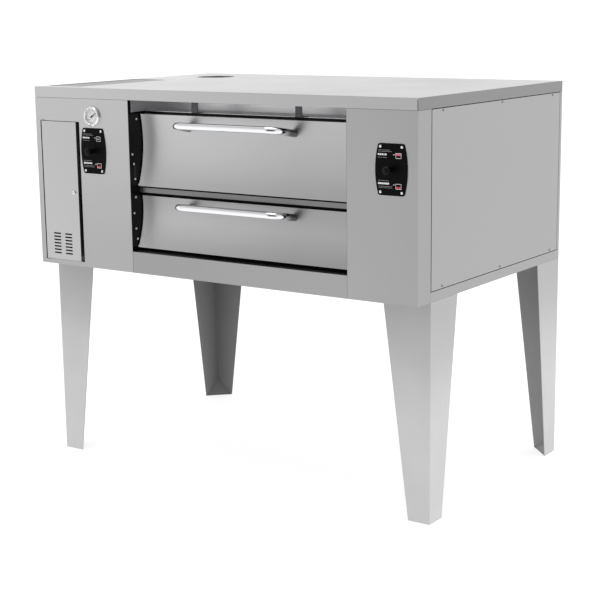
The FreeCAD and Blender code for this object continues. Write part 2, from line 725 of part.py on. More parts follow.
def door_handle(door):
    """A chrome tube, bent back and down at both ends and cut to the door's face."""
    left = f"{OPENING_MIDDLE} - handle_shift - handle_length / 2 + handle_tube"
    right = f"{OPENING_MIDDLE} - handle_shift + handle_length / 2 - handle_tube"
    bar_y = "front - handle_reach"
    foot_y = f"front + {door}_top_set + 24"
    path = [
        (left, foot_y),
        (left, f"{bar_y} + handle_bend"),
        (f"{left} + handle_bend", bar_y),
        (f"{right} - handle_bend", bar_y),
        (right, f"{bar_y} + handle_bend"),
        (right, foot_y),
    ]
    at = ("0", f"({bar_y}) * (1 - cos(handle_drop))", f"{door}_bar + ({bar_y}) * sin(handle_drop)")
    body = new_body(f"{door}_handle_tube", at)
    body.Placement.Rotation = FreeCAD.Rotation(FreeCAD.Vector(1, 0, 0), -number("handle_drop"))
    spine = body.newObject("Sketcher::SketchObject", f"{door}_handle_path")
    lay_on(spine, body, "XY_Plane")
    points = [FreeCAD.Vector(number(u), number(v), 0) for u, v in path]
    bend = number("handle_bend")
    for i in range(len(points) - 1):
        if i in (1, 3):
            spine.addGeometry(arc_between(points[i], points[i + 1], -bend))
        else:
            spine.addGeometry(Part.LineSegment(points[i], points[i + 1]))
    section = body.newObject("Sketcher::SketchObject", f"{door}_handle_section")
    lay_on(section, body, "XZ_Plane")
    section.AttachmentOffset = FreeCAD.Placement(
        FreeCAD.Vector(0, 0, -points[0].y), FreeCAD.Rotation()
    )
    section.addGeometry(Part.Circle(FreeCAD.Vector(points[0].x, 0, 0), FreeCAD.Vector(0, 0, 1), 10))
    c = section.addConstraint(Sketcher.Constraint("Radius", 0, number("handle_tube")))
    bind(section, f"Constraints[{c}]", "handle_tube")
    pipe = body.newObject("PartDesign::AdditivePipe", f"{door}_handle_pipe")
    pipe.Profile = section
    pipe.Spine = spine
    block_behind = slab(
        f"{door}_handle_trim", "YZ_Plane", door_outline(door, "0"), "width",
        (f"-{SIDE}", "0", "0"), arcs={0: f"{door}_curve"},
    )
    keep(cut(f"{door}_door_handle", body, [block_behind]))


# Baking chamber and burners ----------------------------------------------------------------


def side_port(name, x_low, x_high):
    """The opening in a side wall of the chamber that a damper plate covers."""
    return block(
        name,
        (x_low, "front + port_front", "port_base"),
        (x_high, "front + port_front + port_width", "port_base + port_height"),
    )


def gas_passage(name, x_low, x_high):
    at = (x_low, "front + manifold_set", "burner_axis")
    return drum(name, "manifold + 1", f"({x_high}) - ({x_low})", at, "x")


def chamber():
    """The steel chamber with its welded burner cradles, inside its blanket of insulation."""
    front_face = "front + frame_set + frame_plate"
    low = ("liner_left", front_face, "liner_base")
    high = ("liner_right", "front + liner_back", "liner_top")
    shell = tray("chamber_shell", low, high, "sheet", "-y")
    tools = [
        side_port("chamber_left_port", "liner_left - 1", "liner_left + 2 * sheet"),
        side_port("chamber_right_port", "liner_right - 2 * sheet", "liner_right + 1"),
        gas_passage("chamber_gas", "liner_left - 1", "liner_left + 2 * sheet"),
    ]
    cradles = []
    for i, y in enumerate(("front + burner_set + 120", "front + burner_end - 120")):
        cradle_low = ("liner_left + sheet", y, "liner_base + sheet")
        cradle_high = ("liner_right - sheet", f"{y} + 20", "burner_axis - burner")
        cradles.append(tray(f"burner_cradle_{i}", cradle_low, cradle_high, "sheet", "-z"))
    keep(fuse("chamber_liner", [cut("chamber_walls", shell, tools)] + cradles))
    wool_low = ("liner_left - wool", front_face, "liner_base - wool")
    wool_high = ("liner_right + wool", "front + liner_back + wool", "liner_top + wool")
    blanket = block("insulation_blanket", wool_low, wool_high)
    hollow = block("insulation_hollow", (low[0], f"{low[1]} - 1", low[2]), high)
    tools = [
        hollow,
        side_port("insulation_left_port", "liner_left - wool - 1", "liner_left + 1"),
        side_port("insulation_right_port", "liner_right - 1", "liner_right + wool + 1"),
        gas_passage("insulation_gas", "liner_left - wool - 1", "liner_left + 1"),
        block(
            "insulation_notch",
            ("opening_left", f"{front_face} - 1", "header_floor - gap"),
            ("opening_right", "front + header_set + gap", "liner_top + wool + 1"),
        ),
    ]
    keep(cut("chamber_insulation", blanket, tools))


def hearth():
    """Two stone slabs side by side on three steel bearers."""
    base = "stone_top - stone"
    inside_left = "liner_left + sheet + stone_play"
    inside_right = "liner_right - sheet - stone_play"
    middle = "(liner_left + liner_right) / 2"
    back = "front + liner_back - sheet - stone_play"
    stones = []
    for i, (a, b) in enumerate(
        ((inside_left, f"{middle} - stone_play / 2"), (f"{middle} + stone_play / 2", inside_right))
    ):
        stones.append(block(f"hearth_stone_{i}", (a, "front + stone_set", base), (b, back, "stone_top")))
    keep(group("hearth_stones", stones))
    bearers = []
    for i, a in enumerate(
        ("liner_left + sheet", f"{middle} - bearer_width / 2", "liner_right - sheet - bearer_width")
    ):
        low = (a, "front + stone_set", f"{base} - bearer")
        high = (f"{a} + bearer_width", "front + liner_back - sheet", base)
        bearers.append(tray(f"hearth_bearer_{i}", low, high, "2 * sheet", "-z"))
    keep(group("hearth_bearers", bearers))


def burners():
    """Three burner tubes fed from the manifold across their front ends."""
    middle = "(liner_left + liner_right) / 2"
    tubes = []
    spuds = []
    for i in (-1, 0, 1):
        x = f"{middle} + {i} * burner_pitch"
        length = "burner_end - burner_set"
        start = (x, "front + burner_set", "burner_axis")
        outer = drum(f"burner_outer_{i + 1}", "burner", length, start, "y")
        mouth = (x, "front + burner_set - 1", "burner_axis")
        bore = drum(f"burner_bore_{i + 1}", "burner - 2", f"{length} - 9", mouth, "y")
        tubes.append(cut(f"burner_tube_{i + 1}", outer, [bore]))
        centre = (x, "front + manifold_set", "burner_axis")
        spuds.append(drum(f"spud_{i + 1}", "spud", "burner_set - manifold_set + 14", centre, "y"))
    keep(group("burner_tubes", tubes))
    start = "dial_x + valve_length / 2"
    reach = f"{middle} + burner_pitch + 30 - ({start})"
    line = drum(
        "manifold_line", "manifold", reach, (start, "front + manifold_set", "burner_axis"), "x"
    )
    keep(fuse("gas_manifold", [line] + spuds))


def flame_baffle():
    """A ridged sheet above the burners that spreads their heat under the deck."""
    middle = "(liner_left + liner_right) / 2"
    half = "baffle_width / 2"
    corners = [
        (f"-{half}", "0"),
        ("0", "baffle_rise"),
        (half, "0"),
        (half, "2 * sheet"),
        ("0", "baffle_rise + 2 * sheet"),
        (f"-{half}", "2 * sheet"),
    ]
    length = "liner_back - 60 - stone_set"
    at = (middle, "front + liner_back - 40", "baffle_base")
    sheet_body = slab("baffle_sheet", "XZ_Plane", corners, length, at)
    legs = []
    for i, side in enumerate((-1, 1)):
        x = f"({middle} + {side} * ({half} - 10))"
        for j, y in enumerate(("front + stone_set + 40", "front + liner_back - 90")):
            low = (f"{x} - 8", y, "liner_base + sheet")
            high = (f"{x} + 8", f"{y} + 2 * sheet", "baffle_base + 1")
            legs.append(block(f"baffle_leg_{i}_{j}", low, high))
    keep(fuse("flame_baffle", [sheet_body] + legs))


def flue_box():
    """The duct on the left of the chamber: from the side port up to the flue collar."""
    right = "liner_left - wool - gap"
    low = (f"{right} - duct_reach", "front + duct_front", "duct_base")
    high = (right, "front + duct_back", "duct_top")
    box = block("flue_box_blank", low, high)
    hollow = block(
        "flue_box_hollow",
        tuple(f"{a} + sheet" for a in low),
        (right + " + 1", "front + duct_back - sheet", "duct_top - sheet"),
    )
    mouth = drum(
        "flue_box_mouth", "flue", "4 * sheet",
        ("flue_x", "front + flue_set", "duct_top - 3 * sheet"),
    )
    rod = rod_passage("flue_box_rod", "left_rod", "front + duct_front - sheet")
    collar = drum(
        "flue_collar_outer", "flue + sheet", "height - duct_top",
        ("flue_x", "front + flue_set", "duct_top"),
    )
    bore = drum(
        "flue_collar_bore", "flue", "height - duct_top + 2",
        ("flue_x", "front + flue_set", "duct_top - 1"),
    )
    box = cut("flue_box_shell", box, [hollow, mouth, rod])
    keep(fuse("flue_box", [box, cut("flue_collar", collar, [bore])]))


def return_box():
    """The duct on the right of the chamber that the right damper opens."""
    left = "liner_right + wool + gap"
    low = (left, "front + duct_front", "duct_base")
    high = (f"{left} + duct_reach / 2 + 20", "front + duct_back", "return_top")
    box = tray("return_box_shell", low, high, "sheet", "-x")
    rod = rod_passage("return_box_rod", "right_rod", "front + duct_front - sheet")
    keep(cut("heat_return_box", box, [rod]))


# Dampers and controls ----------------------------------------------------------------------


def rod_passage(name, x, y):
    return drum(name, "damper_rod + fit", "4 * sheet", (x, y, "damper_height"), "y")


def damper(side, sign):
    """A push rod with the plate that it draws across the port in the chamber's side."""
    x = side + "_rod"
    wall = "liner_left - wool - gap" if sign < 0 else "liner_right + wool + gap"
    plate_low, plate_high = f"{wall} - 5", f"{wall} - 3"
    if sign > 0:
        plate_low, plate_high = f"{wall} + 3", f"{wall} + 5"
    plate_front = "front + port_front - damper_overlap"
    rod_front = "front - panel_thick - 6"
    rod = drum(
        f"{side}_rod_bar", "damper_rod", f"{plate_front} + damper_plate / 2 - ({rod_front})",
        (x, rod_front, "damper_height"), "y",
    )
    plate = block(
        f"{side}_rod_plate",
        (plate_low, plate_front, "port_base - damper_overlap"),
        (plate_high, f"{plate_front} + damper_plate", "port_base + port_height + damper_overlap"),
    )
    arm_low, arm_high = (x, plate_low) if sign < 0 else (plate_high, x)
    arm = block(
        f"{side}_rod_arm",
        (arm_low, f"{plate_front} + damper_plate / 2 - 6", "damper_height - 3"),
        (arm_high, f"{plate_front} + damper_plate / 2", "damper_height + 3"),
    )
    keep(fuse(f"{side}_damper_rod", [rod, plate, arm]))


def damper_knob(side):
    """The black push and pull knob, bored for its rod."""
    corners = [
        ("damper_rod + fit", "0"),
        ("9", "0"),
        ("8", "14"),
        ("14", "24"),
        ("14", "31"),
        ("9", "36"),
        ("0", "38"),
        ("0", "6"),
        ("damper_rod + fit", "6"),
    ]
    at = (side + "_rod", "front - panel_thick", "damper_height")
    keep(turned(f"{side}_damper_knob", corners, at, "-y"))


def panel_holes(side, x):
    """The screw holes of a control plate in the fascia behind it."""
    return [
        screw_hole(f"{side}_fascia_hole_{i}", panel_screw_at(x, i), "-y") for i in range(4)
    ]


def panel_screw_at(x, i):
    sx = -1 if i % 2 else 1
    sz = -1 if i // 2 else 1
    return (
        f"{x} + {sx} * panel_screw_x",
        "front - panel_thick",
        f"damper_height + {sz} * panel_screw_z",
    )


def control_plate(side):
    """A black plate with bowed sides and rounded corners, bored for its rod and screws."""
    waist = "panel_waist / 2"
    top = "panel_height / 2"
    r = "panel_corner"
    reach = "(panel_height / 2 - panel_corner) ^ 2 + ((panel_width - panel_waist) / 2) ^ 2"
    bow = f"({reach}) / (panel_width - panel_waist)"
    corners = [
        (waist, f"-{top} + {r}"),
        (waist, f"{top} - {r}"),
        (f"{waist} - {r}", top),
        (f"-{waist} + {r}", top),
        (f"-{waist}", f"{top} - {r}"),
        (f"-{waist}", f"-{top} + {r}"),
        (f"-{waist} + {r}", f"-{top}"),
        (f"{waist} - {r}", f"-{top}"),
    ]
    arcs = {edge: f"-{r}" for edge in (1, 3, 5, 7)}
    arcs.update({edge: f"-({bow})" for edge in (0, 4)})
    x = side + "_rod"
    blank = slab(
        f"{side}_plate_blank", "XY_Plane", corners, "panel_thick",
        (x, "front", "damper_height"), "-y", arcs,
    )
    holes = [rod_passage(f"{side}_plate_rod", x, "front - panel_thick - sheet / 2")]
    for i in range(4):
        holes.append(screw_hole(f"{side}_plate_hole_{i}", panel_screw_at(x, i), "-y"))
    keep(cut(f"{side}_control_plate", blank, holes))


def control_plate_screws():
    screws = []
    for side in ("left", "right"):
        for i in range(4):
            screws.append(screw(f"{side}_plate_screw_{i}", panel_screw_at(side + "_rod", i), "-y"))
    keep(group("control_plate_screws", screws))


def thermometer():
    """A dial thermometer: chromed case, white dial, needle on its spindle, and glass."""
    at = ("left_rod", "front", "gauge_height")
    case = [
        ("0", "-22"),
        ("gauge_can", "-22"),
        ("gauge_can", "0"),
        ("gauge", "0"),
        ("gauge", "gauge_proud - 3"),
        ("gauge - 3", "gauge_proud"),
        ("gauge - 5", "gauge_proud"),
        ("gauge - 6", "gauge_proud - 2"),
        ("gauge - 6", "gauge_proud - 3.5"),
        ("gauge_can - 2", "gauge_proud - 3.5"),
        ("gauge_can - 2", "-20"),
        ("0", "-20"),
    ]
    keep(turned("thermometer_case", case, at, "-y"))
    ring = [("1.05", "0"), ("gauge_can - 2.1", "0"), ("gauge_can - 2.1", "1"), ("1.05", "1")]
    keep(turned("thermometer_dial", ring, at, "-y"))
    glass = [
        ("0", "gauge_proud - 3.5"),
        ("gauge - 6.1", "gauge_proud - 3.5"),
        ("gauge - 6.1", "gauge_proud - 2"),
        ("0", "gauge_proud - 2"),
    ]
    keep(turned("thermometer_glass", glass, at, "-y"))
    needle = slab(
        "needle_blade", "XY_Plane",
        [("-9", "-2"), ("-9", "2"), ("21", "0.7"), ("21", "-0.7")], "0.6",
        ("left_rod", "front - 2.2", "gauge_height"), "-y",
    )
    # The needle rests at two o'clock.
    raised = FreeCAD.Rotation(FreeCAD.Vector(0, 0, 1), number("needle_rest"))
    needle.Placement.Rotation = TURN["-y"] * raised
    hub = turned("needle_hub", disc_corners("3.2", "1.6", "3.6", "0.6"), at, "-y")
    spindle = turned("needle_spindle", disc_corners("1", "-16", "2", "0.2"), at, "-y")
    keep(fuse("thermometer_pointer", [needle, hub, spindle]))


# Control compartment -----------------------------------------------------------------------


def control_box():
    """The sheet box behind the compartment door."""
    low = ("hatch_left - box_margin", "front + sheet", "rail_top + gap")
    high = ("hatch_right + latch_room", "front + box_depth", "hatch_top + box_margin")
    box = tray("control_box_shell", low, high, "sheet", "-y")
    passages = [
        block(
            "control_box_relief",
            ("hatch_left - 1", "front", "rail_top"),
            ("hatch_right + 1", "front + hatch_thick - hatch_proud + 1", "rail_top + gap + 2 * sheet"),
        ),
        gas_passage("control_box_gas", "hatch_right", "hatch_right + 20"),
        drum(
            "control_box_pipe", "pipe + 1", "6 * sheet",
            ("dial_x", "front + box_depth - 3 * sheet", "burner_axis"), "y",
        ),
        drum(
            "control_box_shaft", "shaft + fit", "6 * sheet",
            ("dial_x", "front + box_depth - 3 * sheet", "dial_height"), "y",
        ),
    ]
    keep(cut("control_box", box, passages))


def compartment_door():
    """The hatch in the left fascia: a shallow pan with two columns of louvre slots."""
    low = ("hatch_left + hatch_gap", "front - hatch_proud", "hatch_base + hatch_play")
    high = ("hatch_right - hatch_slot", "front + hatch_thick - hatch_proud", "hatch_top - hatch_play")
    pan = tray("hatch_pan", low, high, "sheet", "y")
    slots = []
    for column in range(int(number("vent_columns"))):
        for row in range(int(number("vent_rows"))):
            x = f"vent_left + {column} * vent_step"
            z = f"vent_base + {row} * vent_pitch"
            slots.append(
                block(
                    f"vent_{column}_{row}",
                    (x, "front - hatch_proud - 1", z),
                    (f"{x} + vent_width", "front - hatch_proud + 2 * sheet", f"{z} + vent_height"),
                )
            )
    shaft = drum(
        "hatch_latch_hole", "latch_shaft + fit", "4 * sheet",
        ("latch_x", "front - hatch_proud - sheet", "latch_height"), "y",
    )
    pierced = cut("hatch_pierced", pan, [fuse("hatch_slots", slots), shaft])
    pins = []
    for end, base in (("top", "hatch_top - hatch_play"), ("base", "hatch_base - 2.3")):
        at = ("hatch_left + hatch_gap + 3", "front - hatch_proud + 3", base)
        pins.append(drum(f"hatch_{end}_pin", "hinge_pin", "hatch_play + 2.3", at))
    keep(fuse("compartment_door", [pierced] + pins))


def hinge_ears():
    """Two small plates on the fascia that hold the compartment door's pins, and their bores."""
    ears, bores = [], []
    for end, low, high in (
        ("top", "hatch_top + 0.5", "hatch_top + 2.5"),
        ("base", "hatch_base - 2.5", "hatch_base - 0.5"),
    ):
        ear = block(
            f"hinge_{end}_ear",
            ("hatch_left - 4", "front - hatch_proud - 1", low),
            ("hatch_left + hatch_gap + 7", "front + sheet", high),
        )
        x, y = "hatch_left + hatch_gap + 3", "front - hatch_proud + 3"
        bores.append(drum(f"hinge_{end}_bore", "hinge_pin + fit", "4", (x, y, f"{low} - 1")))
        ears.append(ear)
    return ears, bores


def compartment_latch():
    """The round quarter-turn latch: knob outside, shaft through the door, cam behind it."""
    at = ("latch_x", "front - hatch_proud", "latch_height")
    knob = turned("latch_knob", disc_corners("latch", "0.1", "6", "1.5"), at, "-y")
    shaft = turned("latch_shaft", disc_corners("latch_shaft", "-20", "3", "0.5"), at, "-y")
    cam_front = "front - hatch_proud + hatch_thick + 0.5"
    cam = block(
        "latch_cam",
        ("latch_x - cam_width / 2", cam_front, "latch_height - cam"),
        ("latch_x + cam_width / 2", f"{cam_front} + 2 * sheet", "latch_height + cam_width / 2"),
    )
    keep(fuse("compartment_latch", [knob, shaft, cam]))


def thermostat():
    """The thermostat behind the control box, and its dial inside the compartment."""
    wall = "front + box_depth"
    low = ("dial_x - 32", wall, "dial_height - 40")
    high = ("dial_x + 32", f"{wall} + 46", "dial_height + 40")
    case = block("thermostat_case", low, high)
    socket = drum(
        "thermostat_socket", "shaft + fit", "22", ("dial_x", f"{wall} - 1", "dial_height"), "y"
    )
    keep(cut("thermostat_body", case, [socket]))
    at = ("dial_x", f"{wall} - 2 * sheet", "dial_height")
    skirt = turned("dial_skirt", disc_corners("dial", "0", "7", "1.5"), at, "-y")
    grip = turned("dial_grip", disc_corners("dial * 0.6", "6", "22", "2"), at, "-y")
    rib = block(
        "dial_rib",
        ("dial_x - 2.5", f"{wall} - 2 * sheet - 25", "dial_height"),
        ("dial_x + 2.5", f"{wall} - 2 * sheet - 21", "dial_height + dial * 0.55"),
    )
    stem = drum(
        "dial_stem", "shaft", "20", ("dial_x", f"{wall} - 2 * sheet - 1", "dial_height"), "y"
    )
    keep(fuse("thermostat_dial", [skirt, grip, rib, stem]))


def gas_line():
    """The gas pipe from the back of the oven, the safety valve and its knob."""
    low = ("dial_x - valve_length / 2", "front + valve_set", "burner_axis - valve_height / 2")
    high = (
        "dial_x + valve_length / 2", "front + valve_set + valve_depth",
        "burner_axis + valve_height / 2",
    )
    block_body = block("valve_block", low, high)
    socket = drum(
        "valve_socket", "shaft + fit", "21",
        ("dial_x", "front + valve_set - 1", "burner_axis"), "y",
    )
    keep(cut("gas_valve_body", block_body, [socket]))
    knob_base = ("dial_x", "front + valve_set", "burner_axis")
    skirt = turned("valve_skirt", disc_corners("valve_knob", "1", "6", "1"), knob_base, "-y")
    bar = block(
        "valve_bar",
        ("dial_x - 5", "front + valve_set - 22", "burner_axis - valve_knob + 2"),
        ("dial_x + 5", "front + valve_set - 5", "burner_axis + valve_knob - 2"),
    )
    stem_start = ("dial_x", "front + valve_set - 5", "burner_axis")
    stem = drum("valve_stem", "shaft", "23", stem_start, "y")
    keep(fuse("gas_valve_knob", [skirt, bar, stem]))
    start = "front + valve_set + valve_depth"
    end = "rear - 3 - thread_length"
    outer = drum("pipe_outer", "pipe", f"{end} - ({start})", ("dial_x", start, "burner_axis"), "y")
    thread = drum("pipe_thread", "thread", "thread_length", ("dial_x", end, "burner_axis"), "y")
    inside = ("dial_x", f"{start} + 3", "burner_axis")
    bore = drum("pipe_bore_cut", "pipe_bore", f"rear - ({start})", inside, "y")
    keep(cut("gas_inlet_pipe", fuse("pipe_blank", [outer, thread]), [bore]))


# Legs --------------------------------------------------------------------------------------

CORNERS = {
    "front_left": (f"-{SIDE}", "front + fascia_depth + gap", 0),
    "front_right": (SIDE, "front + fascia_depth + gap", 90),
    "rear_right": (SIDE, "rear", 180),
    "rear_left": (f"-{SIDE}", "rear", 270),
}


def leg_flange(name, role):
    """One tapering face of a leg, standing on the floor."""
    corners = [("0", "0"), ("leg_foot", "0"), ("leg_top", "leg_height"), ("0", "leg_height")]
    return slab(name, role, corners, "leg_sheet")


def leg_web(name):
    """The web that slopes from the leg's corner down to the ends of its two faces."""
    reach = "leg_foot / sqrt(2)"
    corners = [
        ("0", "leg_web"),
        (reach, "0"),
        (f"{reach} - 1.27 * leg_sheet", "0"),
        ("0", "leg_web - 1.6 * leg_sheet"),
    ]
    ramp = slab(
        name + "_ramp", "XZ_Plane", corners, "leg_foot * sqrt(2)", ("-leg_foot / 2", "leg_foot / 2", "0")
    )
    ramp.Placement.Rotation = FreeCAD.Rotation(FreeCAD.Vector(0, 0, 1), 45)
    web = doc.addObject("Part::Common", name + "_web")
    web.Base = ramp
    web.Tool = block(name + "_web_limit", ("0", "0", "0"), ("leg_foot", "leg_foot", "leg_web"))
    return web


def leg(name, x, y, angle):
    """An angle of tapering plate with a mounting plate on top and a closed foot below."""
    # The XZ plane's normal is -Y, so its pad is moved back by the plate's thickness.
    along_x = leg_flange(name + "_flange_x", "XZ_Plane")
    bind(along_x, "Placement.Base.y", "leg_sheet")
    along_y = leg_flange(name + "_flange_y", "YZ_Plane")
    foot = slab(
        name + "_foot", "XY_Plane", [("0", "0"), ("leg_foot", "0"), ("0", "leg_foot")], "leg_sheet"
    )
    plate = block(
        name + "_plate", ("0", "0", "leg_height - leg_sheet"), ("leg_plate", "leg_plate", "leg_height")
    )
    blank = fuse(name + "_blank", [along_x, along_y, foot, plate, leg_web(name)])
    anchor = ("leg_foot * 0.32", "leg_foot * 0.32", "-1")
    holes = [drum(name + "_anchor", "leg_anchor", "leg_sheet + 2", anchor)]
    for i, (a, b) in enumerate(bolt_grid()):
        at = (a, b, "leg_height - 2 * leg_sheet")
        holes.append(drum(f"{name}_hole_{i}", "bolt_shank + 0.2", "3 * leg_sheet", at))
    result = cut(name, blank, holes)
    result.Placement = FreeCAD.Placement(
        FreeCAD.Vector(number(x), number(y), 0), FreeCAD.Rotation(FreeCAD.Vector(0, 0, 1), angle)
    )
    bind(result, "Placement.Base.x", x)
    bind(result, "Placement.Base.y", y)
    keep(result)


def bolt_grid():
    """The three bolts of a leg, measured from its corner along its two faces."""
    near, far = "leg_bolt_near", "leg_bolt_far"
    return [(near, near), (near, far), (far, near)]


def leg_bolts_at(side):
    """Places of the bolts of the two legs on one side of the oven."""
    places = []
    for x, y, angle in CORNERS.values():
        if (angle in (0, 270)) != (side < 0):
            continue
        for a, b in bolt_grid():
            for _ in range(angle // 90):
                a, b = f"-({b})", a
            places.append((f"{x} + {a}", f"{y} + {b}"))
    return places


def leg_bolt_hole(name, at):
    return drum(name, "bolt_shank + 0.2", "8 * sheet", (at[0], at[1], "leg_height - 4 * sheet"))


def leg_bolts():
    """Hexagon bolts up through the legs' plates into the casing, each with its nut."""
    bolts = []
    for i, (x, y) in enumerate(leg_bolts_at(-1) + leg_bolts_at(1)):
        hexagons = []
        for part, base in (
            ("head", "leg_height - leg_sheet - bolt_head_height"),
            ("nut", "leg_height + sheet"),
        ):
            prism = doc.addObject("Part::Prism", f"leg_bolt_{part}_{i}")
            prism.Polygon = 6
            bind(prism, "Circumradius", "bolt_head")
            bind(prism, "Height", "bolt_head_height")
            place(prism, (x, y, base))
            hexagons.append(prism)
        shank = drum(
            f"leg_bolt_shank_{i}", "bolt_shank", "leg_sheet + sheet + 2 * bolt_head_height",
            (x, y, "leg_height - leg_sheet - bolt_head_height / 2"),
        )
        bolts.append(fuse(f"leg_bolt_{i}", hexagons + [shank]))
    keep(group("leg_bolts", bolts))


# Assembly ----------------------------------------------------------------------------------


def build():
    fill_sheet()
    top_cover()
    top_left_cover()
    casing_screws()
    for side, sign in (("left", -1), ("right", 1)):
        side_panel(side, sign)
        bottom_rail(side, sign)
        jamb(side, sign)
        damper(side, sign)
        damper_knob(side)
        control_plate(side)
    bottom_pan()
    back_panel()
    left_fascia()
    right_fascia()
    lower_front_rail()
    header()
    jamb_screws()
    mid_rail()
    face_frame()
    for door in ("upper", "lower"):
        door_skin(door)
        door_liner(door)
        door_insulation(door)
        door_handle(door)
    chamber()
    hearth()
    burners()
    flame_baffle()
    flue_box()
    return_box()
    control_plate_screws()
    thermometer()
    control_box()
    compartment_door()
    compartment_latch()
    thermostat()
    gas_line()
    for name, (x, y, angle) in CORNERS.items():
        leg(name + "_leg", x, y, angle)
    leg_bolts()


def check():
    """Stops if any object of the document failed or any sub-part has no sound shape."""
    for thing in doc.Objects:
        if "Invalid" in thing.State or "Error" in thing.State:
            raise RuntimeError(f"{thing.Name} failed: {thing.State}")
    for node in nodes:
        if node.Shape.isNull() or not node.Shape.isValid() or not node.Shape.Solids:
            raise RuntimeError(f"{node.Label} has no sound shape")


def write():
    os.makedirs("parts", exist_ok=True)
    for node in nodes:
        node.Shape.exportStep(f"parts/{node.Label}.step")
        box = node.Shape.BoundBox
        print(
            f"{node.Label}: {len(node.Shape.Solids)} solid(s), {node.Shape.Volume / 1000:.1f} cm3, "
            f"x {box.XMin:.1f}..{box.XMax:.1f} y {box.YMin:.1f}..{box.YMax:.1f} "
            f"z {box.ZMin:.1f}..{box.ZMax:.1f}"
        )


build()
doc.recompute()
check()
write()
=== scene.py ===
import json
import math

import bmesh
import bpy
from mathutils import Matrix, Vector


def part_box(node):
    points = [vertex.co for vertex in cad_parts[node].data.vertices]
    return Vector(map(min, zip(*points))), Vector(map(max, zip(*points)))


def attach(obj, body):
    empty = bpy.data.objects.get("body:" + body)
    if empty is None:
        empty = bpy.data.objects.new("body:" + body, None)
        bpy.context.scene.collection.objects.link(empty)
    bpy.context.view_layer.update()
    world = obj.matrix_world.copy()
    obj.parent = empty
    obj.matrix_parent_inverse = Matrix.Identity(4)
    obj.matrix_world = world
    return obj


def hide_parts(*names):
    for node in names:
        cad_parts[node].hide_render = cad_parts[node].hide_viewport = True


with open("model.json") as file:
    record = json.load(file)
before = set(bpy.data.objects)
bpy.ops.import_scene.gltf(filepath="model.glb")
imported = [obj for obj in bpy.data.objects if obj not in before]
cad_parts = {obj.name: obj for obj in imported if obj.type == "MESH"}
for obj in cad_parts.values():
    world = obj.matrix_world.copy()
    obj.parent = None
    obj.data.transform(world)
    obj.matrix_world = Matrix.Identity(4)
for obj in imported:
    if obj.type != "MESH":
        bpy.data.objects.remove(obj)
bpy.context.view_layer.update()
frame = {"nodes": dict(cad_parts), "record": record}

NODES = frame["nodes"]
MM = 0.001
# The colour sockets of a mix node, which share their names with its number sockets.
MIX_A, MIX_B, MIX_RESULT = 6, 7, 2
# Depth of the fine relief on brushed and painted sheet, in metres.
FINE_RELIEF = 0.0002

# Camera, in metres in the oven's frame: to the right of the oven and in front of it.
CAMERA_PLACE = Vector((3.118, -4.480, 1.727))
# Its heading, downward tilt and roll in degrees, and its lens in millimetres.
CAMERA_HEADING = 34.69
CAMERA_TILT = 11.575
CAMERA_ROLL = -0.728
CAMERA_LENS = 87.34


# Node materials ----------------------------------------------------------------------------


def new_material(name, colour, roughness, metallic=0.0):
    """A node material with its principled shader set to plain values."""
    material = bpy.data.materials.new(name)
    material.use_nodes = True
    shader = material.node_tree.nodes["Principled BSDF"]
    shader.inputs["Base Color"].default_value = (*colour, 1.0)
    shader.inputs["Roughness"].default_value = roughness
    shader.inputs["Metallic"].default_value = metallic
    return material, material.node_tree, shader


def noise(tree, scale, stretch=(1.0, 1.0, 1.0), detail=3.0):
    """Noise in the oven's own coordinates; stretch multiplies the scale along each axis."""
    place = tree.nodes.new("ShaderNodeTexCoord")
    mapping = tree.nodes.new("ShaderNodeMapping")
    mapping.inputs["Scale"].default_value = stretch
    texture = tree.nodes.new("ShaderNodeTexNoise")
    texture.inputs["Scale"].default_value = scale
    texture.inputs["Detail"].default_value = detail
    tree.links.new(place.outputs["Object"], mapping.inputs["Vector"])
    tree.links.new(mapping.outputs["Vector"], texture.inputs["Vector"])
    return texture.outputs["Fac"]


def ranged(tree, value, low, high, start=0.3, end=0.7):
    """Maps a value between start and end to the range from low to high."""
    node = tree.nodes.new("ShaderNodeMapRange")
    node.interpolation_type = "SMOOTHSTEP"
    node.inputs["From Min"].default_value = start
    node.inputs["From Max"].default_value = end
    node.inputs["To Min"].default_value = low
    node.inputs["To Max"].default_value = high
    tree.links.new(value, node.inputs["Value"])
    return node.outputs["Result"]


def arithmetic(tree, operation, a, b=0.0):
    """One sum on the values a and b; each may be a number or a socket."""
    node = tree.nodes.new("ShaderNodeMath")
    node.operation = operation
    for socket, value in zip(node.inputs, (a, b)):
        if isinstance(value, (int, float)):
            socket.default_value = value
        else:
            tree.links.new(value, socket)
    return node.outputs["Value"]


def blend_of(tree, a, b, share):
    """share of a plus the rest of b."""
    first = arithmetic(tree, "MULTIPLY", a, share)
    return arithmetic(tree, "ADD", first, arithmetic(tree, "MULTIPLY", b, 1 - share))


def mixed(tree, factor, dark, light):
    """A colour that goes from dark to light with a factor; each may be a colour or a socket."""
    mix = tree.nodes.new("ShaderNodeMix")
    mix.data_type = "RGBA"
    tree.links.new(factor, mix.inputs["Factor"])
    for socket, colour in ((mix.inputs[MIX_A], dark), (mix.inputs[MIX_B], light)):
        if isinstance(colour, tuple):
            socket.default_value = (*colour, 1.0)
        else:
            tree.links.new(colour, socket)
    return mix.outputs[MIX_RESULT]


def bump(tree, shader, height, strength, distance=FINE_RELIEF):
    """Gives a shader relief; distance is its depth in metres."""
    node = tree.nodes.new("ShaderNodeBump")
    node.inputs["Strength"].default_value = strength
    node.inputs["Distance"].default_value = distance
    tree.links.new(height, node.inputs["Height"])
    tree.links.new(node.outputs["Normal"], shader.inputs["Normal"])


def shade(colour, factor):
    """A lighter or darker version of a colour."""
    return tuple(min(1.0, c * factor) for c in colour)


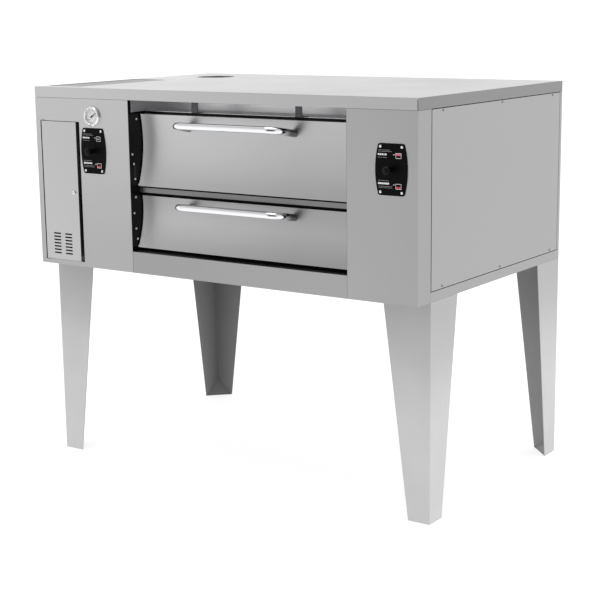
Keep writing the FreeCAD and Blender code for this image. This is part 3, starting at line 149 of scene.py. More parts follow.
def colour_by(tree, shader, factor, dark, light):
    """Gives a shader a colour that goes from dark to light with a factor."""
    tree.links.new(mixed(tree, factor, dark, light), shader.inputs["Base Color"])


def axes(tree, kind="Object"):
    """The X, Y and Z sockets of a texture coordinate; Object is the oven's own place."""
    place = tree.nodes.new("ShaderNodeTexCoord")
    split = tree.nodes.new("ShaderNodeSeparateXYZ")
    tree.links.new(place.outputs[kind], split.inputs["Vector"])
    return split.outputs


def streaked(tree, grain, lengthwise, crosswise, detail=3.0):
    """Noise drawn out along the grain, from its scales along and across it."""
    stretch = tuple(lengthwise if axis == grain else crosswise for axis in "xyz")
    return noise(tree, 1.0, stretch, detail)


def steel_shader(name, colour, grain, roughness, contrast):
    """Brushed sheet: fine streaks along the grain, hairline marks and broad smudges."""
    material, tree, shader = new_material(name, colour, roughness, 1.0)
    streaks = streaked(tree, grain, 9.0, 1300.0)
    hairlines = streaked(tree, grain, 2.5, 240.0, 5.0)
    smudges = noise(tree, 2.2, detail=5.0)
    grain_mix = blend_of(tree, streaks, hairlines, 0.55)
    tone = blend_of(tree, grain_mix, smudges, 0.5)
    rough = arithmetic(
        tree, "ADD",
        ranged(tree, grain_mix, -0.04, 0.04),
        ranged(tree, smudges, roughness - 0.03, roughness + 0.05),
    )
    tree.links.new(rough, shader.inputs["Roughness"])
    bump(tree, shader, grain_mix, 0.05)
    dark, light = shade(colour, 1 - contrast), shade(colour, 1 + contrast)
    sheen = mixed(tree, ranged(tree, tone, 0, 1), dark, light)
    return material, tree, shader, sheen


def brushed(name, colour, grain, roughness, contrast):
    """Brushed sheet or bar of one tone."""
    material, tree, shader, sheen = steel_shader(name, colour, grain, roughness, contrast)
    tree.links.new(sheen, shader.inputs["Base Color"])
    return material


def along(tree, colour, axis, start, end, low, high):
    """Multiplies a colour along one of the oven's axes, by low at start up to high at end."""
    factor = ranged(tree, axes(tree)[axis], low, high, start, end)
    toned = tree.nodes.new("ShaderNodeVectorMath")
    toned.operation = "SCALE"
    tree.links.new(colour, toned.inputs[0])
    tree.links.new(factor, toned.inputs["Scale"])
    return toned.outputs["Vector"]


def sheet_steel(node):
    """Brushed sheet with painted light and shade in its tones: from end to end, up its height and at
    its edges.
    """
    grain, left_tone, right_tone, roughness = SHEETS[node]
    material, tree, shader, sheen = steel_shader(
        node + "_steel", STEEL, grain, roughness, STEEL_CONTRAST
    )
    low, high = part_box(node)
    toned = along(tree, sheen, "X", low[0], high[0], left_tone, right_tone)
    # Painted light: the left edge is paler and less metallic, which covers the jamb's dark reflection.
    if node in EDGE_LIT_SHEETS:
        start = low[0]
        toned = along(tree, toned, "X", start, start + EDGE_LIGHT_WIDTH * MM, EDGE_LIGHT_TONE, 1.0)
        metal = ranged(tree, axes(tree)["X"], 0.0, 1.0, start, start + MATT_WIDTH * MM)
        tree.links.new(metal, shader.inputs["Metallic"])
    # Painted light and shade up the sheet's height.
    if node in FADES:
        share, base_tone, top_tone = FADES[node]
        start = low[2] + share * (high[2] - low[2])
        toned = along(tree, toned, "Z", start, high[2], base_tone, top_tone)
    # Painted shade: the lid's side flanges are darker than its top.
    if node == "top_cover":
        sideways = arithmetic(tree, "ABSOLUTE", axes(tree, "Normal")["X"])
        flanges = ranged(tree, sideways, 0, 1, 0.6, 0.8)
        toned = mixed(tree, flanges, toned, shade(STEEL, FLANGE_SHADE))
    tree.links.new(toned, shader.inputs["Base Color"])
    return material


def polished(name, colour, roughness):
    """Polished plating with faint wiping marks."""
    material, tree, shader = new_material(name, colour, roughness, 1.0)
    marks = noise(tree, 35.0, (0.2, 1.0, 1.0))
    tree.links.new(ranged(tree, marks, roughness * 0.6, roughness * 1.6), shader.inputs["Roughness"])
    colour_by(tree, shader, marks, shade(colour, 0.94), colour)
    return material


def coat_of(material):
    """A finished material's tree, its shader's colour socket, and what feeds that socket."""
    socket = material.node_tree.nodes["Principled BSDF"].inputs["Base Color"]
    return material.node_tree, socket, socket.links[0].from_socket


def handle_chrome():
    """Chrome with painted shade where the tube turns in toward the door."""
    material = polished("handle_chrome", CHROME, 0.09)
    tree, socket, coat = coat_of(material)
    bright_end, shaded_end = -515 * MM, -475 * MM
    tree.links.new(along(tree, coat, "Y", bright_end, shaded_end, 1.0, 0.22), socket)
    return material


def painted(name, colour, roughness, peel=0.25, variation=0.05, specular=0.5):
    """Sprayed paint or enamel: orange peel, slight mottling and thin rubbed patches."""
    material, tree, shader = new_material(name, colour, roughness)
    mottle = noise(tree, 5.0, detail=4.0)
    fine = noise(tree, 380.0, detail=2.0)
    factor = ranged(tree, mottle, 0, 1)
    colour_by(tree, shader, factor, shade(colour, 1 - variation), shade(colour, 1 + variation))
    tree.links.new(ranged(tree, mottle, roughness - 0.04, roughness + 0.06), shader.inputs["Roughness"])
    shader.inputs["Specular IOR Level"].default_value = specular
    bump(tree, shader, fine, peel)
    return material


def leg_paint(name, inner):
    """Silver-grey enamel on the legs' outer faces; inner is the tone of their inner faces, a painted
    shade. The legs also darken towards the top, a painted shade under the casing.
    """
    colour = (0.64, 0.635, 0.635)
    material = painted(name, colour, 0.4, 0.15, 0.03, 0.3)
    tree, socket, coat = coat_of(material)
    place = axes(tree)
    outside = 0.5 * (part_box("front_right_leg")[1][0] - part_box("front_left_leg")[0][0])
    front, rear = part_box("front_left_leg")[0][1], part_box("rear_left_leg")[1][1]
    width = arithmetic(tree, "ABSOLUTE", place["X"])
    on_side = arithmetic(tree, "GREATER_THAN", width, outside - MM)
    on_front = arithmetic(tree, "LESS_THAN", place["Y"], front + MM)
    on_rear = arithmetic(tree, "GREATER_THAN", place["Y"], rear - MM)
    outer = arithmetic(tree, "MAXIMUM", arithmetic(tree, "MAXIMUM", on_side, on_front), on_rear)
    both = mixed(tree, outer, shade(colour, inner), coat)
    # Painted shade: the legs darken towards the top, under the casing.
    fade_start, fade_end = 300 * MM, 750 * MM
    tree.links.new(along(tree, both, "Z", fade_start, fade_end, 1.0, 0.74), socket)
    return material


def grainy(name, dark, light, roughness, scale, relief):
    """A matt mineral surface, such as stone, wool or a sand casting; relief is in metres."""
    material, tree, shader = new_material(name, light, roughness)
    coarse = noise(tree, scale, detail=8.0)
    fine = noise(tree, scale * 9.0, detail=4.0)
    both = blend_of(tree, coarse, fine, 0.5)
    colour_by(tree, shader, ranged(tree, both, 0, 1), dark, light)
    tree.links.new(ranged(tree, fine, roughness - 0.08, roughness + 0.05), shader.inputs["Roughness"])
    bump(tree, shader, both, 0.6, relief)
    return material


def moulded(name, colour, roughness):
    """Moulded phenolic: a low gloss with a fine texture and slightly rubbed patches."""
    material, tree, shader = new_material(name, colour, roughness)
    rub = noise(tree, 90.0, detail=4.0)
    colour_by(tree, shader, ranged(tree, rub, 0, 1), colour, shade(colour, 1.8))
    tree.links.new(ranged(tree, rub, roughness - 0.05, roughness + 0.1), shader.inputs["Roughness"])
    shader.inputs["Specular IOR Level"].default_value = 0.1
    bump(tree, shader, noise(tree, 1500.0), 0.15, 0.0001)
    return material


def clear_glass():
    """Thin clear glass with faint smears."""
    material, tree, shader = new_material("clear_glass", (0.97, 0.98, 0.98), 0.03)
    shader.inputs["Transmission Weight"].default_value = 1.0
    shader.inputs["IOR"].default_value = 1.2
    shader.inputs["Alpha"].default_value = 0.3
    smears = noise(tree, 60.0, detail=3.0)
    tree.links.new(ranged(tree, smears, 0.02, 0.1), shader.inputs["Roughness"])
    return material


STEEL = (0.43, 0.43, 0.435)
STEEL_CONTRAST = 0.03
CHROME = (0.86, 0.86, 0.88)
PLATING = (0.8, 0.8, 0.82)
# Grain direction, tone at the left and right ends and roughness of each stainless sheet. The tones
# are painted light and shade: each sheet is made lighter or darker for the light and reflections on it.
SHEETS = {
    "top_cover": ("x", 1.16, 0.94, 0.3),
    "top_left_cover": ("y", 0.5, 0.5, 0.35),
    "left_side_panel": ("y", 0.88, 0.88, 0.32),
    "right_side_panel": ("y", 0.88, 0.88, 0.32),
    "left_bottom_rail": ("y", 0.85, 0.85, 0.32),
    "right_bottom_rail": ("y", 0.85, 0.85, 0.32),
    "back_panel": ("x", 0.9, 0.9, 0.35),
    "left_fascia": ("z", 1.02, 1.0, 0.34),
    "right_fascia": ("z", 0.85, 0.83, 0.34),
    "lower_front_rail": ("x", 0.76, 0.8, 0.32),
    # Painted shade on the recessed mid rail, and painted light in the recess of the header panel.
    "mid_rail": ("x", 0.44, 0.44, 0.3),
    "header_panel": ("x", 2.1, 2.1, 0.4),
    "upper_door_skin": ("x", 1.22, 1.0, 0.36),
    "lower_door_skin": ("x", 1.14, 0.9, 0.36),
    "compartment_door": ("z", 1.14, 1.12, 0.34),
}
# Sheets with painted light along their left edge, and in millimetres how wide it is paler and how
# wide it is matt.
EDGE_LIT_SHEETS = ("upper_door_skin", "lower_door_skin")
EDGE_LIGHT_WIDTH = 65
MATT_WIDTH = 95
EDGE_LIGHT_TONE = 1.75
# Sheets whose tone changes up their height, a painted light and shade: the share of it where the
# change starts, the tone there and the tone at the top.
FADES = {"left_fascia": (0.0, 0.92, 1.13), "lower_door_skin": (0.5, 1.0, 0.82)}
# Tone of the lid's side flanges, a painted shade.
FLANGE_SHADE = 0.58


def make_finishes():
    """One material for each finish in the record, by the name of its slot."""
    return {
        "bracket_steel": brushed("bracket_steel", (0.10, 0.10, 0.105), "z", 0.45, 0.1),
        "black_enamel": painted("black_enamel", (0.004, 0.004, 0.004), 0.25, 0.05, 0.1, 0.12),
        "plated_steel": polished("plated_steel", PLATING, 0.2),
        "chrome": polished("chrome", CHROME, 0.09),
        "aluminised_steel": brushed("aluminised_steel", (0.4, 0.4, 0.4), "x", 0.48, 0.12),
        "mineral_wool": grainy(
            "mineral_wool", (0.52, 0.44, 0.27), (0.78, 0.71, 0.52), 0.93, 25.0, 0.004
        ),
        "hearth_stone": grainy(
            "hearth_stone", (0.38, 0.3, 0.22), (0.66, 0.56, 0.44), 0.9, 14.0, 0.0012
        ),
        "cast_iron": grainy("cast_iron", (0.04, 0.04, 0.042), (0.1, 0.1, 0.1), 0.65, 60.0, 0.0008),
        "gas_steel": painted("gas_steel", (0.05, 0.05, 0.052), 0.5, 0.3, 0.1),
        "valve_brass": brushed("valve_brass", (0.72, 0.5, 0.22), "x", 0.35, 0.1),
        "damper_steel": brushed("damper_steel", (0.4, 0.4, 0.41), "y", 0.35, 0.08),
        "black_plastic": moulded("black_plastic", (0.002, 0.002, 0.002), 0.3),
        "black_plate": painted("black_plate", (0.002, 0.002, 0.002), 0.42, 0.08, 0.1, 0.06),
        "thermostat_case": painted("thermostat_case", (0.2, 0.2, 0.21), 0.5, 0.2),
        "dial_white": painted("dial_white", (0.85, 0.85, 0.84), 0.35, 0.05, 0.02),
        "needle_black": painted("needle_black", (0.008, 0.008, 0.008), 0.45, 0.05, 0.2, 0.3),
        "clear_glass": clear_glass(),
        "leg_paint": leg_paint("leg_paint", inner=0.3),
    }


FINISHES = make_finishes()
INKS = {
    "white_ink": painted("white_ink", (0.85, 0.85, 0.85), 0.5, 0.05),
    "grey_ink": painted("grey_ink", (0.2, 0.2, 0.2), 0.5, 0.05),
    "red_ink": painted("red_ink", (0.55, 0.02, 0.05), 0.45, 0.05),
    "rose_ink": painted("rose_ink", (0.75, 0.12, 0.2), 0.45, 0.05),
}


def finish_nodes():
    """Gives every CAD node the finish of its material slot."""
    slots = {row["node"]: row["material_slot"] for row in frame["record"]["subparts"]}
    for name, node in NODES.items():
        material = FINISHES.get(slots[name])
        if name in SHEETS:
            material = sheet_steel(name)
        elif name.endswith("_handle"):
            material = handle_chrome()
        # The rear right leg's inner faces get a lighter painted shade.
        elif name == "rear_right_leg":
            material = leg_paint("rear_right_leg_paint", inner=0.5)
        node.data.materials.clear()
        node.data.materials.append(material)


# Folded sheets with rounded edges. The side panels and fascias keep plain edges, because there a
# bevel draws lines from the screw holes across the flat faces.
FOLDED = (
    "top_cover", "left_bottom_rail", "right_bottom_rail", "lower_front_rail", "compartment_door",
    "mid_rail", "top_left_cover",
)


def soften_folds():
    """Rounds the edges of the folded sheets and keeps their faces flat in the light."""
    for name in FOLDED:
        weld = NODES[name].modifiers.new("weld", "WELD")
        weld.merge_threshold = 0.01 * MM
        bevel = NODES[name].modifiers.new("folds", "BEVEL")
        bevel.width = 0.6 * MM
        bevel.segments = 2
        bevel.limit_method = "ANGLE"
        bevel.angle_limit = math.radians(50)
        normals = NODES[name].modifiers.new("normals", "WEIGHTED_NORMAL")
        normals.weight = 100


# Places and sizes of details, in millimetres --------------------------------------------------

# Thickness of the oven's sheets.
SHEET = 1.5
# The compartment door's slots: the left end of each column, the lowest slot's lower edge, the
# pitch and number of rows, the slots' size, and how far a fin reaches past a slot's ends.
VENT_COLUMNS = (-758, -701)
VENT_BASE = 803
VENT_PITCH = 12.4
VENT_ROWS = 7
VENT_WIDTH, VENT_HEIGHT = 35, 5.5
VENT_MARGIN = 0.8
# Height of the compartment latch's middle.
LATCH_HEIGHT = 1040
# The door stops' middle, along the oven's depth and up.
STOP_DEPTH, STOP_HEIGHT = -485.5, 1131.5
# Flame ports: the first one's distance from a tube's front end, their pitch and number in a row,
# and how many degrees each row leans from the top.
PORT_START, PORT_PITCH, PORT_COUNT = 50, 19.5, 36
PORT_TILT = 28


# Detail pieces -----------------------------------------------------------------------------

# Each face's own axes: X to its right, Y up and Z out of it.
FACING = {
    "-y": Matrix(((1, 0, 0), (0, 0, -1), (0, 1, 0))).to_4x4(),
    "x": Matrix(((0, 0, 1), (1, 0, 0), (0, 1, 0))).to_4x4(),
    "-x": Matrix(((0, 0, -1), (-1, 0, 0), (0, 1, 0))).to_4x4(),
    "y": Matrix(((-1, 0, 0), (0, 0, 1), (0, 1, 0))).to_4x4(),
    "z": Matrix.Identity(4),
}


def on_face(place, facing):
    """The axes of a face, moved to a place in metres."""
    return Matrix.Translation(Vector(place)) @ FACING[facing]


def add_piece(name, bm, material, body="oven_body"):
    """Turns a finished bmesh into a piece that rides on a body."""
    bmesh.ops.recalc_face_normals(bm, faces=bm.faces)
    mesh = bpy.data.meshes.new(name)
    bm.to_mesh(mesh)
    bm.free()
    mesh.materials.append(material)
    piece = bpy.data.objects.new(name, mesh)
    bpy.context.scene.collection.objects.link(piece)
    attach(piece, body)
    return piece


def slab(bm, matrix, low, high):
    """A block between two corners in a face's own axes, in millimetres."""
    low, high = Vector(low) * MM, Vector(high) * MM
    middle, size = (low + high) / 2, high - low
    local = Matrix.Translation(middle) @ Matrix.Diagonal((*size, 1.0))
    bmesh.ops.create_cube(bm, size=1.0, matrix=matrix @ local)


def ring_of(bm, matrix, radius, heights):
    """A ring of vertices about a face's own Z, one for each height, in millimetres."""
    ring = []
    for i, height in enumerate(heights):
        angle = 2 * math.pi * i / len(heights)
        point = Vector((radius * math.cos(angle), radius * math.sin(angle), height)) * MM
        ring.append(bm.verts.new(matrix @ point))
    return ring


def bridge(bm, low, high):
    """The faces between two rings with the same number of vertices."""
    for i in range(len(low)):
        j = (i + 1) % len(low)
        bm.faces.new((low[i], low[j], high[j], high[i]))


def lathe(bm, matrix, profile, segments=32):
    """A turned shape about a face's own Z; profile holds radius and height in millimetres."""
    rings = [ring_of(bm, matrix, radius, [height] * segments) for radius, height in profile]
    for low, high in zip(rings, rings[1:]):
        bridge(bm, low, high)
    bm.faces.new(rings[0])
    bm.faces.new(rings[-1])


def cross_head(bm, matrix, radius, height, rings=9, segments=40):
    """A pan head with a sunk cross: rings of vertices, each lowered where the cross is."""
    slot_half, slot_reach, depth = radius * 0.13, radius * 0.62, height * 0.55
    middle = bm.verts.new(matrix @ (Vector((0, 0, height - depth)) * MM))
    last = []
    for ring in range(1, rings + 1):
        r = radius * ring / rings
        crown = height * math.sqrt(1 - 0.92 * (r / radius) ** 4)
        heights = []
        for i in range(segments):
            angle = 2 * math.pi * i / segments
            near, far = sorted((abs(r * math.cos(angle)), abs(r * math.sin(angle))))
            in_cross = near < slot_half and far < slot_reach
            heights.append(crown - depth if in_cross else crown)
        points = ring_of(bm, matrix, r, heights)
        if last:
            bridge(bm, last, points)
        else:
            for i in range(segments):
                bm.faces.new((middle, points[i], points[(i + 1) % segments]))
        last = points
    foot = ring_of(bm, matrix, radius, [0.0] * segments)
    bridge(bm, last, foot)
    bm.faces.new(foot)


# Screws in millimetres: the pan heads' radius and height, the shanks' radius, and how far the
# casing's shanks reach in.
HEAD_RADIUS, HEAD_HEIGHT = 4.5, 1.6
SHANK_RADIUS = 2.0
SHANK_LENGTH = 8.0
# Screw places in millimetres: along the oven's depth and up, or across it and along its depth.
SIDE_SCREWS = [(-350, 1381), (67, 1381), (472, 1381), (-350, 806), (67, 806), (472, 806)]
JAMB_SCREWS = [
    (-466, 1320), (-494, 1194), (-487, 1159), (-483, 1104), (-483, 1038), (-494, 980),
    (-487, 923), (-480, 884),
]
LID_SCREWS = [(-636, -108), (-636, -400)]
# Each screw of a control plate from the plate's middle, across and up.
PLATE_SCREW = (40, 73)


def screw(bm, place, facing, shank=SHANK_LENGTH):
    """A pan-head screw in a face, with a shank of a length in millimetres."""
    matrix = on_face(place, facing)
    cross_head(bm, matrix, HEAD_RADIUS, HEAD_HEIGHT)
    lathe(bm, matrix, [(SHANK_RADIUS, 0.0), (SHANK_RADIUS, -shank)], 12)


def flush_screw(bm, place):
    """A countersunk screw whose top is level with the lid."""
    matrix = on_face(place, "z")
    shank = [(SHANK_RADIUS, -9.5), (SHANK_RADIUS, -1.5)]
    lathe(bm, matrix, shank + [(4.3, -0.2), (4.3, -0.02), (3.9, 0.0)], 24)
    reach, half, depth = 2.6, 0.45, 0.4
    slab(bm, matrix, (-reach, -half, -depth), (reach, half, 0.0))
    slab(bm, matrix, (-half, -reach, -depth), (half, reach, 0.0))


def casing_screws():
    """The screws of the side panels and the lid, in darkened plating that is a painted shade round
    their heads.
    """
    side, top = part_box("right_side_panel")[1][0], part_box("top_cover")[1][2]
    bm = bmesh.new()
    for y, z in SIDE_SCREWS:
        screw(bm, (side, y * MM, z * MM), "x")
        screw(bm, (-side, y * MM, z * MM), "-x")
    for x, y in LID_SCREWS:
        flush_screw(bm, (x * MM, y * MM, top))
    # Darkened plating, a painted shade on these screws.
    shaded = polished("shaded_plating", (0.25, 0.25, 0.26), 0.3)
    piece = add_piece("casing_cross_screws", bm, shaded)
    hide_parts("casing_screws")


def jamb_screws():
    """The short screws on the inner faces of both jambs."""
    left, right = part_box("left_jamb")[1][0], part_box("right_jamb")[0][0]
    bm = bmesh.new()
    for y, z in JAMB_SCREWS:
        screw(bm, (left, y * MM, z * MM), "x", shank=1.5)
        screw(bm, (right, y * MM, z * MM), "-x", shank=1.5)
    piece = add_piece("jamb_cross_screws", bm, FINISHES["plated_steel"])
    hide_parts("jamb_screws")


def front_middle(node):
    """The middle of the front of a node's box."""
    low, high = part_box(node)
    return Vector(((low[0] + high[0]) / 2, low[1], (low[2] + high[2]) / 2))


def plate_screws():
    """The four screws of each control plate."""
    bm = bmesh.new()
    for side in ("left", "right"):
        centre = front_middle(side + "_control_plate")
        for sx in (-1, 1):
            for sz in (-1, 1):
                offset = Vector((sx * PLATE_SCREW[0], 0, sz * PLATE_SCREW[1])) * MM
                screw(bm, centre + offset, "-y")
    piece = add_piece("plate_cross_screws", bm, FINISHES["plated_steel"])
    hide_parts("control_plate_screws")


def row(start, base, height, widths, gap=1.5):
    """A row of printed bars: left end, lower edge, height and the width of each bar."""
    bars = []
    for width in widths:
        bars.append((start, base, start + width, base + height))
        start += width + gap
    return bars


def frame_lines(low, high, stroke=1.2):
    """The four sides of a printed rectangle."""
    (u0, v0), (u1, v1) = low, high
    return [
        (u0, v0, u1, v0 + stroke),
        (u0, v1 - stroke, u1, v1),
        (u0, v0 + stroke, u0 + stroke, v1 - stroke),
        (u1 - stroke, v0 + stroke, u1, v1 - stroke),
    ]


# The plates' print, in millimetres from a plate's middle.
BOLD = row(-49, 45, 5.6, [6, 5, 6, 3, 6.5]) + row(-48, -48, 5.6, [6, 6, 5, 5, 7, 5.5], 1.2)
SMALL = (
    row(-47, 61, 1.6, [14, 9, 17]) + row(-48, 56.5, 1.6, [10, 18, 12, 6])
    + row(-49, 37.5, 1.6, [9, 7, 14]) + row(-49, -37, 1.6, [12, 16, 10])
    + row(-47, -55, 1.6, [8, 12, 20, 7]) + row(-46, -59.5, 1.6, [16, 10, 21])
)
UPPER_BOX = ((17, 36.5), (38, 53.5))
LOWER_BOX = ((17, -61.5), (38, -44.5))
BOX_MARGIN = 2
POINTERS = row(8, 47, 2.0, [6]) + row(8, -49, 2.0, [6])
INK_HEIGHT = 0.12


def ink(name, side, bars, material):
    """Printed bars on a control plate, in millimetres from the plate's middle."""
    bm = bmesh.new()
    matrix = on_face(front_middle(side + "_control_plate"), "-y")
    for u0, v0, u1, v1 in bars:
        slab(bm, matrix, (u0, v0, 0.0), (u1, v1, INK_HEIGHT))
    add_piece(f"{side}_plate_{name}", bm, material)


def half_of(box, upper=True):
    """One bar that fills the upper or the lower half of a printed box."""
    (u0, v0), (u1, v1) = box
    middle = (v0 + v1) / 2
    low, high = (middle + 0.5, v1 - BOX_MARGIN) if upper else (v0 + BOX_MARGIN, middle - 0.5)
    return [(u0 + BOX_MARGIN, low, u1 - BOX_MARGIN, high)]


def plate_print():
    """Plain printed bars and boxes in place of the plates' lettering and pictures."""
    boxes = frame_lines(*UPPER_BOX) + frame_lines(*LOWER_BOX)
    for side in ("left", "right"):
        ink("white_bars", side, BOLD + POINTERS + boxes, INKS["white_ink"])
        ink("grey_bars", side, SMALL, INKS["grey_ink"])
        ink("red_box", side, half_of(LOWER_BOX, upper=False), INKS["red_ink"])
    ink("rose_box", "right", half_of(UPPER_BOX), INKS["rose_ink"])
    ink("pale_box", "left", row(21, 44, 2.0, [13]), INKS["white_ink"])


def scale_marks(name, centre, reach, angles, widths, ink_name, lift):
    """Radial marks round a dial, from the inner to the outer radius in reach, in millimetres."""
    inner, outer = reach
    bm = bmesh.new()
    for angle, width in zip(angles, widths):
        matrix = on_face(centre, "-y") @ Matrix.Rotation(math.radians(angle), 4, "Z")
        slab(bm, matrix, (inner, -width / 2, 0.0), (outer, width / 2, lift))
    add_piece(name, bm, INKS[ink_name])


def dials():
    """Marks on the thermometer, and on the wall behind the thermostat's knob."""
    centre = front_middle("thermometer_dial")
    angles = [-45 + 9 * i for i in range(31)]
    widths = [0.9 if i % 5 == 0 else 0.4 for i in range(31)]
    figures = angles[::5]
    scale_marks("thermometer_marks", centre, (21.5, 25.0), angles, widths, "grey_ink", 0.08)
    widths = [2.6] * len(figures)
    scale_marks("thermometer_figures", centre, (16.5, 19.5), figures, widths, "grey_ink", 0.08)
    centre = front_middle("thermostat_dial")
    centre.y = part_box("control_box")[1][1] - SHEET * MM
    angles = [-50 + 20 * i for i in range(15)]
    widths = [1.2] * len(angles)
    scale_marks("thermostat_marks", centre, (31.0, 36.0), angles, widths, "white_ink", 0.1)


def data_plate():
    """A plain riveted plate on the back, with bars for its entries."""
    across, up = 0.55, 1.15
    matrix = on_face((across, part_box("back_panel")[0][1] + SHEET * MM, up), "y")
    half_width, half_height, thickness = 55, 35, 0.6
    inset = 5
    bm = bmesh.new()
    slab(bm, matrix, (-half_width, -half_height, 0.0), (half_width, half_height, thickness))
    for u in (inset - half_width, half_width - inset):
        for v in (inset - half_height, half_height - inset):
            rivet = matrix @ Matrix.Translation(Vector((u, v, thickness)) * MM)
            lathe(bm, rivet, [(2.2, 0.0), (2.0, 0.5), (1.2, 0.9)], 16)
    add_piece("data_plate", bm, FINISHES["damper_steel"])
    bm = bmesh.new()
    for i in range(6):
        for u0, v0, u1, v1 in row(-44, 22 - 9 * i, 2.6, [24, 38 - 3 * (i % 3), 12], 3):
            slab(bm, matrix, (u0, v0, thickness), (u1, v1, thickness + 0.1))
    add_piece("data_plate_bars", bm, INKS["grey_ink"])


def vent_fins():
    """A louvre fin behind each slot of the compartment door, sloping down into the oven."""
    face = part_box("compartment_door")[0][1]
    front, back = face + 1.6 * MM, face + 9.0 * MM
    bm = bmesh.new()
    for column in VENT_COLUMNS:
        ends = ((column - VENT_MARGIN) * MM, (column + VENT_WIDTH + VENT_MARGIN) * MM)
        for level in range(VENT_ROWS):
            top = (VENT_BASE + VENT_PITCH * level + VENT_HEIGHT) * MM
            shape = [
                (front, top + 1.0 * MM), (front + 0.8 * MM, top + 1.0 * MM),
                (back, top - 8.0 * MM), (back - 0.8 * MM, top - 8.2 * MM),
            ]
            left, right = [[bm.verts.new((x, y, z)) for y, z in shape] for x in ends]
            bridge(bm, left, right)
            bm.faces.new(left)
            bm.faces.new(right)
    # The fins are black, a painted shade that keeps the slots dark.
    add_piece("vent_fins", bm, FINISHES["black_enamel"], "compartment_door")


def latch_slot():
    """The screwdriver slot in the compartment latch's head."""
    low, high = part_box("compartment_latch")
    bm = bmesh.new()
    matrix = on_face(((low[0] + high[0]) / 2, low[1], LATCH_HEIGHT * MM), "-y")
    slab(bm, matrix, (-4.4, -0.7, -0.3), (4.4, 0.7, 0.02))
    add_piece("latch_slot", bm, FINISHES["black_plate"], "latch")


def jamb_stops():
    """The bent steel stops on the jambs, between the screws of the upper door's hinge."""
    left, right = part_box("left_jamb")[1][0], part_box("right_jamb")[0][0]
    half_width, half_height, thickness, rise = 3.2, 22, 1.2, 3.4
    for side, facing, x, lip in (("left", "x", left, half_width), ("right", "-x", right, -half_width)):
        matrix = on_face((x, STOP_DEPTH * MM, STOP_HEIGHT * MM), facing)
        bm = bmesh.new()
        slab(bm, matrix, (-half_width, -half_height, 0.0), (half_width, half_height, thickness))
        slab(bm, matrix, (lip - 0.6, -half_height, thickness), (lip + 0.6, half_height, rise))
        add_piece(side + "_door_stop", bm, FINISHES["bracket_steel"])


def burner_ports():
    """Two rows of raised flame ports along each burner tube."""
    low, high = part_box("burner_tubes")
    radius = (high[2] - low[2]) / 2
    axis_z = (high[2] + low[2]) / 2
    port = [(3.0, 0.0), (2.4, 1.8), (1.3, 1.8), (1.1, 0.8)]
    foot = Matrix.Translation((0, 0, radius - 0.4 * MM))
    bm = bmesh.new()
    for x in (low[0] + radius, (low[0] + high[0]) / 2, high[0] - radius):
        for tilt in (-PORT_TILT, PORT_TILT):
            turn = Matrix.Rotation(math.radians(tilt), 4, "Y")
            for i in range(PORT_COUNT):
                y = low[1] + (PORT_START + PORT_PITCH * i) * MM
                lathe(bm, Matrix.Translation((x, y, axis_z)) @ turn @ foot, port, 10)
    add_piece("burner_ports", bm, FINISHES["cast_iron"])


def pipe_thread():
    """The thread ridges on the gas pipe's end."""
    low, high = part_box("gas_inlet_pipe")
    root, crest, pitch, length = 12.9, 13.25, 1.8, 13.4
    profile = []
    for i in range(7):
        height = pitch * i - length
        profile += [(root, height), (crest, height + pitch / 2)]
    profile.append((root, -0.3))
    bm = bmesh.new()
    lathe(bm, on_face(((low[0] + high[0]) / 2, high[1], (low[2] + high[2]) / 2), "y"), profile, 40)
    caps = [face for face in bm.faces if len(face.verts) > 4]
    bmesh.ops.delete(bm, geom=caps, context="FACES_ONLY")
    thread = add_piece("pipe_thread", bm, FINISHES["gas_steel"])
    thread.modifiers.new("thickness", "SOLIDIFY").thickness = 0.2 * MM


# Studio ------------------------------------------------------------------------------------

# The world's brightness: in front at the horizon, in front high up, and behind the oven.
HORIZON, OVERHEAD, BEHIND = 1.12, 0.62, 1.15
# Direction of a dark flag in front of the oven, and what share of the light it leaves.
FLAG = Vector((0.30, -0.95, 0.08)).normalized()
FLAG_LIGHT = 0.1


def sky_along(tree, direction, axis_sockets):
    """How closely a world direction follows a unit direction."""
    total = 0.0
    for axis, share in zip("XYZ", direction):
        part = arithmetic(tree, "MULTIPLY", axis_sockets[axis], share)
        total = arithmetic(tree, "ADD", total, part)
    return total


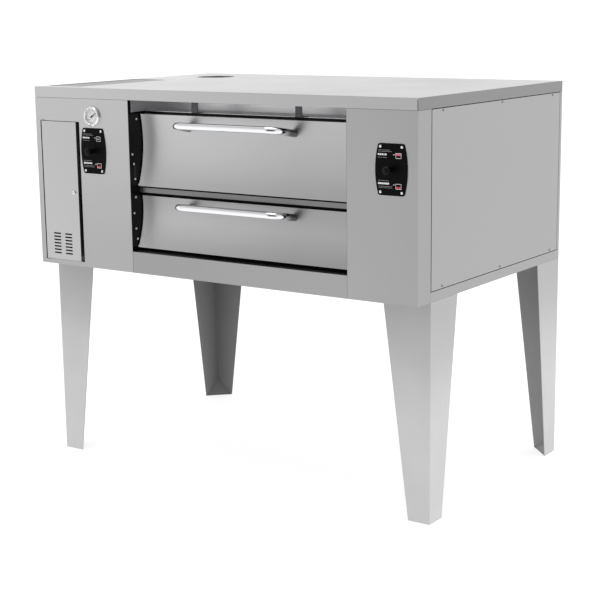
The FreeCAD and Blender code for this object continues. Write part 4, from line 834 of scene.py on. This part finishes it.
def studio():
    """White to the camera on all sides, and to the oven bright behind it and grey in front."""
    bpy.context.scene.view_settings.view_transform = "Standard"
    world = bpy.data.worlds.new("studio")
    bpy.context.scene.world = world
    world.use_nodes = True
    tree = world.node_tree
    sky = axes(tree, "Generated")
    front = ranged(tree, sky["Z"], HORIZON, OVERHEAD, 0.0, 0.75)
    flagged = ranged(tree, sky_along(tree, FLAG, sky), 1.0, FLAG_LIGHT, 0.76, 0.95)
    front = arithmetic(tree, "MULTIPLY", front, flagged)
    backness = ranged(tree, sky["Y"], 0.0, 1.0, -0.25, 0.45)
    rest = arithmetic(tree, "SUBTRACT", 1.0, backness)
    level = arithmetic(
        tree, "ADD",
        arithmetic(tree, "MULTIPLY", front, rest),
        arithmetic(tree, "MULTIPLY", backness, BEHIND),
    )
    background = tree.nodes["Background"]
    background.inputs["Color"].default_value = (1, 1, 1, 1)
    rays = tree.nodes.new("ShaderNodeLightPath")
    seen = arithmetic(tree, "MAXIMUM", rays.outputs["Is Camera Ray"], level)
    tree.links.new(seen, background.inputs["Strength"])
    softbox("top_softbox", (-0.2, -1.0, 5.0), (0, 0, 1.2), size=2.6, power=70)
    floor()


def softbox(name, place, target, size, power):
    """A square lamp at a place in metres, turned to a target; its power is in watts."""
    light = bpy.data.lights.new(name, "AREA")
    light.shape = "SQUARE"
    light.size = size
    light.energy = power
    lamp = bpy.data.objects.new(name, light)
    lamp.location = place
    lamp.rotation_euler = (Vector(target) - Vector(place)).to_track_quat("-Z", "Y").to_euler()
    bpy.context.scene.collection.objects.link(lamp)


def floor():
    """A pale floor that glows a little, as a lit white sweep does."""
    mesh = bpy.data.meshes.new("studio_floor")
    side, near, far = 40.0, -6.0, 60.0
    corners = [(-side, near, 0), (side, near, 0), (side, far, 0), (-side, far, 0)]
    mesh.from_pydata(corners, [], [(0, 1, 2, 3)])
    plane = bpy.data.objects.new("studio_floor", mesh)
    bpy.context.scene.collection.objects.link(plane)
    material, _, shader = new_material("studio_floor", (0.4, 0.4, 0.4), 0.9)
    shader.inputs["Emission Color"].default_value = (1, 1, 1, 1)
    shader.inputs["Emission Strength"].default_value = 0.75
    mesh.materials.append(material)


def camera():
    """The camera at the photograph's viewing angle."""
    lens = bpy.data.cameras.new("camera")
    lens.lens = CAMERA_LENS
    lens.sensor_width = 36.0
    lens.clip_end = 200.0
    viewer = bpy.data.objects.new("camera", lens)
    viewer.matrix_world = (
        Matrix.Translation(CAMERA_PLACE)
        @ Matrix.Rotation(math.radians(CAMERA_HEADING), 4, "Z")
        @ Matrix.Rotation(math.radians(90 - CAMERA_TILT), 4, "X")
        @ Matrix.Rotation(math.radians(CAMERA_ROLL), 4, "Z")
    )
    bpy.context.scene.collection.objects.link(viewer)
    bpy.context.scene.camera = viewer


camera()
studio()
finish_nodes()
soften_folds()
casing_screws()
jamb_screws()
plate_screws()
plate_print()
dials()
data_plate()
vent_fins()
latch_slot()
jamb_stops()
burner_ports()
pipe_thread()
